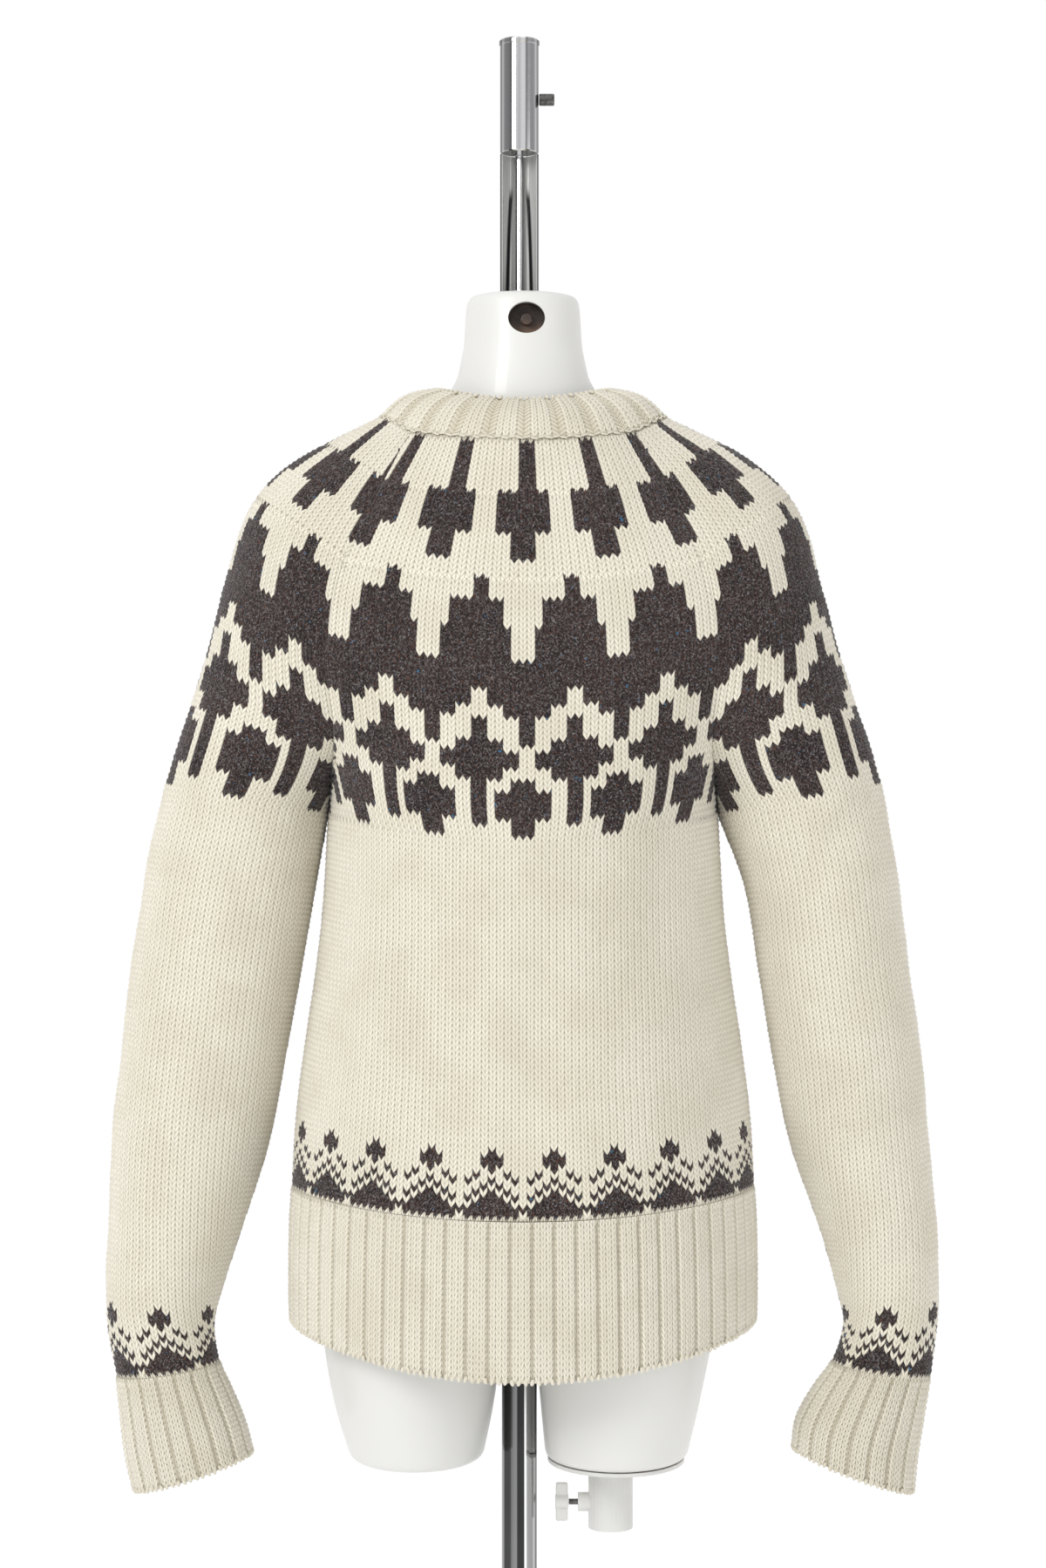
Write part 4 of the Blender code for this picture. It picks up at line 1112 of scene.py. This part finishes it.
def knit_sleeve(cloth, flip, seed):
    chart = chart_rows()
    places = sleeve_chart_places()
    yoke = (len(places) - 1) // 2
    rows = [chart[min(int(places[2 * course] + 0.01), YOKE_COURSES - 1)] for course in range(yoke)]
    total = yoke + SLEEVE_COURSES

    def is_dark(course, phase):
        if course < yoke:
            return charted(rows, course, phase)
        return border_dark(course - (total - len(BORDER_CHART)), phase, 4)

    knitting = Knitting(cloth, flip, closed_from=2 * yoke)
    for first, last, per_repeat in stitch_counts(rows, total):
        knitting.strip(first, last, per_repeat, is_dark, seed=seed + first)
    knitting.close(WALL, INNER_COLUMNS)
    return knitting


def plain(course, phase):
    return False


def finish_cloth(thing, replaced, flat, area):
    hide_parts(replaced)
    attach(thing, "dressed_stand")


def cloth_area(cloth):
    across = np.diff(cloth.points, axis=1)[:-1]
    down = np.diff(cloth.points, axis=0)[:, :-1]
    return float(np.linalg.norm(np.cross(across, down), axis=-1).sum())


def lay_loops(knitting, rib, level, size, along_edge):
    """A row of loops, along the edge or across it, that lean to and fro and lie a little unevenly."""
    line, out = rib.cloth.points[level], rib.cloth.out[level]
    run = runs(line)

    def at(values, places):
        return np.stack([np.interp(places, run, values[:, axis]) for axis in range(3)], axis=-1)

    places = (np.arange(int(run[-1] / size.pitch)) + 0.5) * size.pitch
    centres = at(line, places)
    outward = unit(at(out, places))
    tangent = unit(at(line, places + 0.001) - at(line, places - 0.001))
    fall = unit(np.cross(tangent, outward)) * (-1.0 if rib.flip else 1.0)
    lean = np.where(np.arange(len(places)) % 2 == 0, LOOP_LEAN, -LOOP_LEAN)[:, None]
    jitter = np.random.default_rng(11).normal(0.0, LOOP_JITTER, (len(places), 1))
    if along_edge:
        centres = centres + outward * 0.0002 + fall * (lean * 0.0012 + jitter)
        knitting.loops(centres, tangent + fall * lean * 0.7, outward, size.length, size.radius)
    else:
        edge_side = 1.0 if rib.edge > rib.joined else -1.0
        centres = centres - outward * 0.0009 + fall * (jitter - 0.0006 * edge_side)
        knitting.loops(centres, fall + tangent * lean * 0.9, outward, size.length, size.radius)


# joined and edge are the rows of the cloth at the seam and at the open edge.
Rib = namedtuple("Rib", "name replaced cloth flip courses closed joined edge depth flat material")


def make_ribs():
    """The hem ribs, the cuffs and the neckband, which has a chain of stitches along its seam."""
    # The second values set the painted shade between the stitches, the keyword values the painted shade in
    # the grooves.
    ribbed = cream_wool("cream_rib", 0.80, columns=RIB_STITCHES)
    cuffed = cream_wool("cream_cuff", 1.0, columns=RIB_STITCHES, groove_shade=0.30)
    banded = cream_wool("cream_band", 0.80, columns=RIB_STITCHES, groove_shade=0.26)
    hem = (HEM_COURSES, False, 0, 2 * HEM_COURSES, HEM_DEPTH, HEM_FLAT, ribbed)
    cuff = (CUFF_COURSES, True, 0, 2 * CUFF_COURSES, CUFF_DEPTH, CUFF_FLAT, cuffed)
    band = (BAND_COURSES, True, 2 * BAND_COURSES, 0, BAND_DEPTH, BAND_FLAT, banded)
    ribs = (
        Rib("rib_hem_back", "back_hem_rib", hem_cloth(False), False, *hem),
        Rib("rib_hem_front", "front_hem_rib", hem_cloth(True), True, *hem),
        Rib("rib_left_cuff", "left_cuff", cuff_cloth(-1), True, *cuff),
        Rib("rib_right_cuff", "right_cuff", cuff_cloth(1), False, *cuff),
        Rib("rib_neckband", "neckband", band_cloth(), False, *band),
    )
    for rib in ribs:
        knitting = Knitting(rib.cloth, rib.flip, closed_from=0 if rib.closed else None)
        shape = rib_shape(rib.depth, rib.joined, rib.edge)
        knitting.strip(0, rib.courses, RIB_STITCHES, plain, shape=shape, seed=7)
        knitting.close(RIB_WALL, RIB_INNER_COLUMNS)
        lay_loops(knitting, rib, rib.edge, CAST_OFF, along_edge=False)
        if rib.name == "rib_neckband":
            lay_loops(knitting, rib, rib.joined, CHAIN, along_edge=True)
        thing = knitting.made(rib.name, (rib.material,))
        area = min(cloth_area(rib.cloth), rib.flat[0] * rib.flat[1])
        finish_cloth(thing, rib.replaced, rib.flat, area)


def make_cloth():
    # The 0.85 sets how strong the painted shade between the stitches is.
    yarns = (cream_wool("cream_knit", 0.85), tweed("tweed_knit"))
    panels = (
        ("knit_back", False, "back_panel", BACK_FLAT),
        ("knit_front", True, "front_panel", FRONT_FLAT),
    )
    for seed, (name, front, replaced, flat) in enumerate(panels):
        cloth = panel_cloth(front)
        thing = knit_panel(cloth, front, 100 * seed).made(name, yarns)
        finish_cloth(thing, replaced, flat, cloth_area(cloth))
    for side, word in ((-1, "left"), (1, "right")):
        cloth = sleeve_cloth(side)
        thing = knit_sleeve(cloth, side < 0, 300 + side).made(f"knit_{word}_sleeve", yarns)
        finish_cloth(thing, f"{word}_sleeve", SLEEVE_FLAT, cloth_area(cloth))
    make_ribs()


# Form and stand


def shell_material():
    material, tree, shader = new_material("white_shell", 0.42, Specular_IOR_Level=0.45, Coat_Weight=0.15)
    tone = object_noise(tree, 9.0, 3.0)
    colour = mixed(tree, stepped(tree, tone, 0.30, 0.75), (0.70, 0.697, 0.668), (0.675, 0.672, 0.645))
    tree.links.new(colour, shader.inputs["Base Color"])
    add_bump(tree, shader, object_noise(tree, 420.0, 2.0), 0.06, 0.0003)
    uneven_roughness(tree, shader, 60.0, 3.0, 0.36, 0.48)
    return material


def chrome_material(name, stripes=None, radius=0.0133):
    """Chrome, with painted reflections: the dark and bright stripes a studio's surroundings leave on an
    upright tube.
    """
    material, tree, shader = new_material(name, 0.10, 1.0)
    haze = object_noise(tree, 14.0, 3.0)
    if stripes:
        where = node(tree, "ShaderNodeTexCoord").outputs["Object"]
        x = node(tree, "ShaderNodeSeparateXYZ", in_Vector=where).outputs["X"]
        across = times(tree, minus(tree, x, STAND_X), 0.5 / radius)
        ramp = node(tree, "ShaderNodeValToRGB", in_Fac=plus(tree, across, 0.5))
        marks = ramp.color_ramp.elements
        for index, (at, tone) in enumerate(stripes):
            mark = marks[index] if index < 2 else marks.new(at)
            mark.position = at
            mark.color = (tone, tone, tone * 1.01, 1.0)
        share = times(tree, haze, 0.12)
        colour = mixed(tree, share, ramp.outputs["Color"], (0.45, 0.45, 0.46))
    else:
        colour = mixed(tree, haze, (0.72, 0.72, 0.73), (0.62, 0.62, 0.63))
    tree.links.new(colour, shader.inputs["Base Color"])
    uneven_roughness(tree, shader, 240.0, 4.0, 0.07, 0.17)
    return material


def channel_material():
    """The channel's inside, with painted reflections: two dark arcs from near the top, a bright middle and
    dark edges.
    """
    material, tree, shader = new_material("chrome_channel", 0.22, 0.35)
    where = node(tree, "ShaderNodeTexCoord").outputs["Object"]
    parts = node(tree, "ShaderNodeSeparateXYZ", in_Vector=where)
    drop = minus(tree, CHANNEL_ARC_TOP_Z, parts.outputs["Z"])
    part = times(tree, drop, 9.0, clamp=True)
    bend = math_node(tree, "POWER", part, 0.45)
    side = math_node(tree, "ABSOLUTE", minus(tree, parts.outputs["X"], STAND_X))
    middle = plus(tree, times(tree, bend, 0.0046), 0.0044)
    off = math_node(tree, "ABSOLUTE", minus(tree, side, middle))
    # Painted reflection: the two dark arcs.
    arc = times(tree, stepped(tree, off, 0.0019, 0.0006), stepped(tree, drop, 0.0, 0.012))
    colour = mixed(tree, arc, (0.64, 0.64, 0.62), (0.012, 0.012, 0.012))
    # Painted reflection: a bright band down the middle, lower down.
    near = stepped(tree, side, 0.0050, 0.0030)
    middle_reflection = times(tree, near, stepped(tree, drop, 0.03, 0.12))
    colour = mixed(tree, middle_reflection, colour, (0.88, 0.88, 0.86))
    # Painted reflection: the dark edges.
    colour = mixed(tree, stepped(tree, side, 0.0116, 0.0126), colour, (0.10, 0.10, 0.10))
    tree.links.new(colour, shader.inputs["Base Color"])
    return material


# Painted reflection stripes across a tube, from its left side to its right: the place, and how bright.
ROD_REFLECTION_STRIPES = (
    (0.0, 0.04), (0.20, 0.25), (0.34, 0.95), (0.56, 1.0), (0.70, 0.60), (0.88, 0.20), (1.0, 0.05),
)
COLLAR_REFLECTION_STRIPES = (
    (0.0, 0.05), (0.04, 0.10), (0.08, 0.55), (0.13, 0.30), (0.22, 0.26), (0.30, 0.10),
    (0.36, 0.42), (0.42, 0.95), (0.50, 0.70), (0.56, 1.0), (0.64, 0.98),
    (0.68, 0.25), (0.74, 0.45), (0.86, 0.38), (0.92, 0.60), (0.97, 0.08),
)
POLE_REFLECTION_STRIPES = (
    (0.0, 0.05), (0.05, 0.30), (0.08, 0.03), (0.25, 0.04), (0.28, 0.15), (0.42, 0.21), (0.45, 0.012),
    (0.63, 0.02), (0.655, 1.0), (0.69, 0.95), (0.72, 0.33), (0.87, 0.30), (0.91, 0.62), (0.96, 0.08),
)
CHANNEL_ARC_TOP_Z = 1.574


def steel_material():
    material, tree, shader = new_material("steel_screw", 0.35, 1.0)
    tone = object_noise(tree, 380.0, 3.0)
    colour = mixed(tree, stepped(tree, tone, 0.3, 0.7), (0.17, 0.165, 0.16), (0.08, 0.077, 0.075))
    tree.links.new(colour, shader.inputs["Base Color"])
    add_bump(tree, shader, tone, 0.15, 0.0002)
    return material


def plastic_material():
    material, tree, shader = new_material("white_plastic", 0.45, Specular_IOR_Level=0.5)
    tone = object_noise(tree, 35.0, 2.0)
    colour = mixed(tree, stepped(tree, tone, 0.3, 0.7), (0.68, 0.677, 0.65), (0.63, 0.627, 0.60))
    tree.links.new(colour, shader.inputs["Base Color"])
    add_bump(tree, shader, object_noise(tree, 900.0, 2.0), 0.10, 0.0002)
    return material


def set_material(name, material):
    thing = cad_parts[name]
    thing.data.materials.clear()
    thing.data.materials.append(material)


FORM_AROUND = 128
STUB_AROUND = 96
STUB_BOTTOM_Z = 0.697
STUB_EDGE = 0.0048
# Heights of a stub's rings above its underside, close together round its edge.
STUB_RISES = (
    0.0, 0.0004, 0.0012, 0.0026, 0.0048, 0.010, 0.02, 0.03, 0.043, 0.06, 0.08, 0.10, 0.13, 0.15, 0.173,
)
NECK_EDGE_HEIGHTS = (1.4885, 1.4905, 1.4920, 1.4932, 1.4939, 1.4942)
POLE_BORE_RADIUS = 0.0125
CHANNEL_BORE_RADIUS = 0.0136
HOLE_X, HOLE_Z = 0.0024, 1.475
HOLE_RADIUS = 0.0125
HOLE_DEPTH = 0.030
HOLE_FLOOR_Y = -0.0245
HOLE_FLATNESS = 0.86
FormRing = namedtuple("FormRing", "z half_width half_depth middle_y")
FORM_BODY = (
    FormRing(0.800, 0.1480, 0.1020, -0.002),
    FormRing(0.850, 0.1500, 0.1080, -0.003),
    FormRing(0.900, 0.1460, 0.1040, -0.002),
    FormRing(0.960, 0.1300, 0.0920, 0.000),
    FormRing(1.030, 0.1180, 0.0860, 0.002),
    FormRing(1.090, 0.1200, 0.0930, 0.003),
    FormRing(1.140, 0.1240, 0.0990, 0.002),
    FormRing(1.190, 0.1300, 0.1000, 0.000),
    FormRing(1.240, 0.1450, 0.0980, 0.000),
)
# follow: how far a neck ring copies the rise and fall of the neckband's seam.
NeckRing = namedtuple("NeckRing", "z half_width half_depth follow")
FORM_NECK = (
    NeckRing(1.4040, 0.0700, 0.0580, 1.0),
    NeckRing(1.4180, 0.0540, 0.0490, 0.6),
    NeckRing(1.4320, 0.0472, 0.0445, 0.2),
    NeckRing(1.4390, 0.0450, 0.0430, 0.0),
    NeckRing(1.4480, 0.0430, 0.0415, 0.0),
    NeckRing(1.4600, 0.0407, 0.0398, 0.0),
    NeckRing(1.4740, 0.0398, 0.0390, 0.0),
    NeckRing(1.4860, 0.0389, 0.0382, 0.0),
    NeckRing(1.4905, 0.0378, 0.0372, 0.0),
    NeckRing(1.4932, 0.0355, 0.0350, 0.0),
    NeckRing(1.4942, 0.0315, 0.0310, 0.0),
)
StubRing = namedtuple("StubRing", "z middle_x half_width half_depth")
STUBS = (
    (
        StubRing(0.697, -0.0730, 0.0455, 0.064),
        StubRing(0.740, -0.0750, 0.0560, 0.076),
        StubRing(0.800, -0.0760, 0.0630, 0.088),
        StubRing(0.870, -0.0740, 0.0620, 0.092),
    ),
    (
        StubRing(0.697, 0.0640, 0.0485, 0.064),
        StubRing(0.740, 0.0670, 0.0555, 0.076),
        StubRing(0.800, 0.0700, 0.0630, 0.088),
        StubRing(0.870, 0.0700, 0.0620, 0.092),
    ),
)


def shoulder_ring(share):
    """A ring of the form under the yoke, moved in by the cloth's wall and a little more lower down."""
    parts = np.arange(FORM_AROUND // 4) * 4.0 / FORM_AROUND

    def outer(at):
        return np.concatenate([
            panel_ring(at, 2 * parts - 1, False),
            cap_ring(at, 2 * parts - 1, 1),
            panel_ring(at, 1 - 2 * parts, True),
            cap_ring(at, 1 - 2 * parts, -1),
        ])

    ring = outer(share)
    rise = outer(min(share + 0.02, 1.0)) - outer(max(share - 0.02, 0.0))
    along = np.roll(ring, -1, axis=0) - np.roll(ring, 1, axis=0)
    ring = ring - unit(np.cross(along, rise)) * (0.0042 + 0.006 * (1.0 - share))
    return np.roll(ring, -FORM_AROUND // 8, axis=0)


def oval(row_x, row_y, half_width, half_depth, z, around):
    turns = 2 * math.pi * np.arange(around) / around
    heights = np.broadcast_to(z, turns.shape)
    x = row_x + half_width * np.sin(turns)
    return np.stack([x, row_y - half_depth * np.cos(turns), heights], axis=-1)


def ring_faces(around, low, high):
    """Faces between two rings of points, given by their places in a list of rings."""
    low, high = low * around, high * around
    pairs = [(step, (step + 1) % around) for step in range(around)]
    return [(low + step, low + after, high + after, high + step) for step, after in pairs]


def solid_object(name, rings):
    """A closed solid through rings of points, from the lowest ring up."""
    around = len(rings[0])
    faces = []
    for row in range(len(rings) - 1):
        faces += ring_faces(around, row, row + 1)
    faces.append(tuple(reversed(range(around))))
    faces.append(tuple((len(rings) - 1) * around + step for step in range(around)))
    mesh = bpy.data.meshes.new(name)
    mesh.from_pydata(np.concatenate(rings).tolist(), [], faces)
    thing = bpy.data.objects.new(name, mesh)
    bpy.context.collection.objects.link(thing)
    return thing


def upright(name, x, radius, low_z, high_z):
    return solid_object(name, [oval(x, 0.0, radius, radius, z, 64) for z in (low_z, high_z)])


def make_form():
    """The torso form, smoother than the solid, with its stubs, bores and the hole in the neck."""
    rings = []
    for z in np.linspace(0.800, 1.240, 26):
        row = smooth_row(FORM_BODY, z)
        rings.append(oval(0.0, row.middle_y, row.half_width, row.half_depth, z, FORM_AROUND))
    rings += [shoulder_ring(share) for share in np.linspace(0.64, 1.0, 12)]
    seam_z = neck_seam(2 * math.pi * np.arange(FORM_AROUND) / FORM_AROUND)[:, 2]
    for z in np.concatenate([np.linspace(1.404, 1.486, 18), NECK_EDGE_HEIGHTS]):
        row = smooth_row(FORM_NECK, z)
        ring_z = z + row.follow * (seam_z - 1.400)
        rings.append(oval(0.0, 0.0, row.half_width, row.half_depth, ring_z, FORM_AROUND))
    form = solid_object("form", rings)
    changes = []
    for index, table in enumerate(STUBS):
        stub_rings = []
        for rise in STUB_RISES:
            row = smooth_row(table, STUB_BOTTOM_Z + rise)
            part = 1.0 - min(rise, STUB_EDGE) / STUB_EDGE
            inset = STUB_EDGE * (1.0 - math.sqrt(max(1.0 - part**2, 0.0)))
            half_width, half_depth = row.half_width - inset, row.half_depth - inset
            z = STUB_BOTTOM_Z + rise
            stub_rings.append(oval(row.middle_x, 0.0, half_width, half_depth, z, STUB_AROUND))
        changes.append((solid_object(f"stub_{index}", stub_rings), "UNION"))
    changes.append((upright("pole_bore", STAND_X, POLE_BORE_RADIUS, 0.677, 1.38), "DIFFERENCE"))
    changes.append((upright("channel_bore", STAND_X, CHANNEL_BORE_RADIUS, 1.36, 1.68), "DIFFERENCE"))
    ends = (-HOLE_DEPTH / 2, HOLE_DEPTH / 2)
    hole_height = HOLE_RADIUS * HOLE_FLATNESS
    hole = solid_object("hole", [oval(0.0, 0.0, HOLE_RADIUS, hole_height, z, 64) for z in ends])
    hole.data.transform(Matrix.Rotation(math.pi / 2, 4, "X"))
    hole.data.transform(Matrix.Translation((HOLE_X, HOLE_FLOOR_Y - HOLE_DEPTH / 2, HOLE_Z)))
    changes.append((hole, "DIFFERENCE"))
    for other, operation in changes:
        cut = form.modifiers.new(other.name, "BOOLEAN")
        cut.operation, cut.solver, cut.object = operation, "EXACT", other
    graph = bpy.context.evaluated_depsgraph_get()
    mesh = bpy.data.meshes.new_from_object(form.evaluated_get(graph))
    mesh.name = "smooth_form"
    mesh.shade_smooth()
    mesh.set_sharp_from_angle(angle=math.radians(38.0))
    mesh.materials.clear()
    mesh.materials.append(shell_material())
    for thing in [form] + [other for other, operation in changes]:
        bpy.data.objects.remove(thing)
    smooth = bpy.data.objects.new("smooth_form", mesh)
    bpy.context.collection.objects.link(smooth)
    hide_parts("torso_form")
    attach(smooth, "dressed_stand")


def make_stand():
    steel = steel_material()
    plastic = plastic_material()
    set_material("top_collar", chrome_material("chrome_collar", COLLAR_REFLECTION_STRIPES))
    set_material("channel_rod", chrome_material("chrome_rod", ROD_REFLECTION_STRIPES, 0.0027))
    plain_chrome = chrome_material("chrome_base")
    for name in ("base_disc", "hub"):
        set_material(name, plain_chrome)
    set_material("pole", chrome_material("chrome_pole", POLE_REFLECTION_STRIPES, 0.0121))
    set_material("half_round_channel", channel_material())
    for name in ("collar_set_screw", "knob_screw"):
        set_material(name, steel)
    for name in ("stub_plate", "socket", "wing_knob"):
        set_material(name, plastic)
    make_form()
    lining = lining_material()
    set_material("neck_screw", lining)
    make_lining(lining)


def lining_material():
    material, tree, shader = new_material("dark_lining", 0.45)
    tone = object_noise(tree, 180.0, 3.0)
    where = node(tree, "ShaderNodeTexCoord").outputs["Object"]
    z = node(tree, "ShaderNodeSeparateXYZ", in_Vector=where).outputs["Z"]
    colour = mixed(tree, stepped(tree, tone, 0.3, 0.7), (0.060, 0.037, 0.028), (0.026, 0.017, 0.013))
    # Painted light: the hole's lining is lighter towards the bottom, where light falls in.
    colour = mixed(tree, stepped(tree, z, 1.476, 1.465), colour, (0.20, 0.125, 0.085))
    tree.links.new(colour, shader.inputs["Base Color"])
    return material


def make_lining(material):
    """The dark lining of the hole in the neck: a thin cup that is open at the back of the form."""
    around, radius, wall = 64, HOLE_RADIUS - 0.0001, 0.0003
    floor_y = HOLE_FLOOR_Y - 0.0001
    depth = 0.0085
    screw_gap = 0.0042
    profile = (
        (screw_gap, 0.0),
        (radius, 0.0),
        (radius, depth),
        (radius - wall, depth),
        (radius - wall, wall),
        (screw_gap, wall),
    )
    turns = 2 * math.pi * np.arange(around) / around
    points, faces = [], []
    for distance, forward in profile:
        for turn in turns:
            high = HOLE_FLATNESS * distance * math.sin(turn)
            points.append((HOLE_X + distance * math.cos(turn), floor_y - forward, HOLE_Z + high))
    for ring in range(len(profile)):
        faces += ring_faces(around, ring, (ring + 1) % len(profile))
    mesh = bpy.data.meshes.new("neck_hole_lining")
    mesh.from_pydata(points, [], faces)
    mesh.materials.append(material)
    lining = bpy.data.objects.new("neck_hole_lining", mesh)
    bpy.context.collection.objects.link(lining)
    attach(lining, "dressed_stand")


# Camera, floor and light


def make_camera():
    camera = bpy.data.cameras.new("camera")
    thing = bpy.data.objects.new("camera", camera)
    bpy.context.collection.objects.link(thing)
    thing.location = (0.0, -CAMERA_DISTANCE, CAMERA_HEIGHT)
    thing.rotation_euler = (math.pi / 2, 0.0, 0.0)
    camera.sensor_width = SENSOR_WIDTH
    camera.lens = CAMERA_LENS
    bpy.context.scene.camera = thing


def make_floor():
    bpy.ops.mesh.primitive_plane_add(size=FLOOR_SIZE, location=(0.0, 0.0, 0.0))
    floor = bpy.context.object
    floor.name = "floor"
    white = (1.0, 1.0, 1.0, 1.0)
    material, tree, shader = new_material("pale_floor", 0.8, Emission_Color=white, Emission_Strength=0.17)
    tone = object_noise(tree, 1.2, 2.0)
    colour = mixed(tree, tone, (0.90, 0.90, 0.90), (0.87, 0.87, 0.87))
    tree.links.new(colour, shader.inputs["Base Color"])
    floor.data.materials.append(material)


def area_light(name, place, turn, size, power, colour=(1.0, 1.0, 1.0)):
    light = bpy.data.lights.new(name, "AREA")
    light.shape = "RECTANGLE"
    light.size, light.size_y = size
    light.energy = power
    light.color = colour
    thing = bpy.data.objects.new(name, light)
    thing.location = place
    thing.rotation_euler = [math.radians(angle) for angle in turn]
    bpy.context.collection.objects.link(thing)


def make_light():
    """A bright surround behind the object, softer in front, and a large light at the upper left."""
    world = bpy.data.worlds.new("studio")
    bpy.context.scene.world = world
    world.use_nodes = True
    tree = world.node_tree
    background = tree.nodes["Background"]
    where = node(tree, "ShaderNodeTexCoord").outputs["Generated"]
    parts = node(tree, "ShaderNodeSeparateXYZ", in_Vector=where)
    behind = stepped(tree, parts.outputs["Y"], 0.05, 0.60)
    above = stepped(tree, parts.outputs["Z"], -0.1, 0.9)
    front = mixed(tree, above, (0.52, 0.52, 0.53), (1.00, 1.00, 1.00))
    tree.links.new(mixed(tree, behind, front, (1.0, 1.0, 1.0)), background.inputs["Color"])
    background.inputs["Strength"].default_value = 1.0
    area_light("key_light", (-1.7, -2.3, 2.5), (56.0, 0.0, -36.0), (0.9, 1.2), 42.0)
    area_light("fill_light", (2.0, -1.8, 1.2), (86.0, 0.0, 48.0), (1.0, 1.8), 8.0)
    bpy.context.scene.view_settings.view_transform = "Standard"


make_camera()
make_floor()
make_light()
make_cloth()
make_stand()
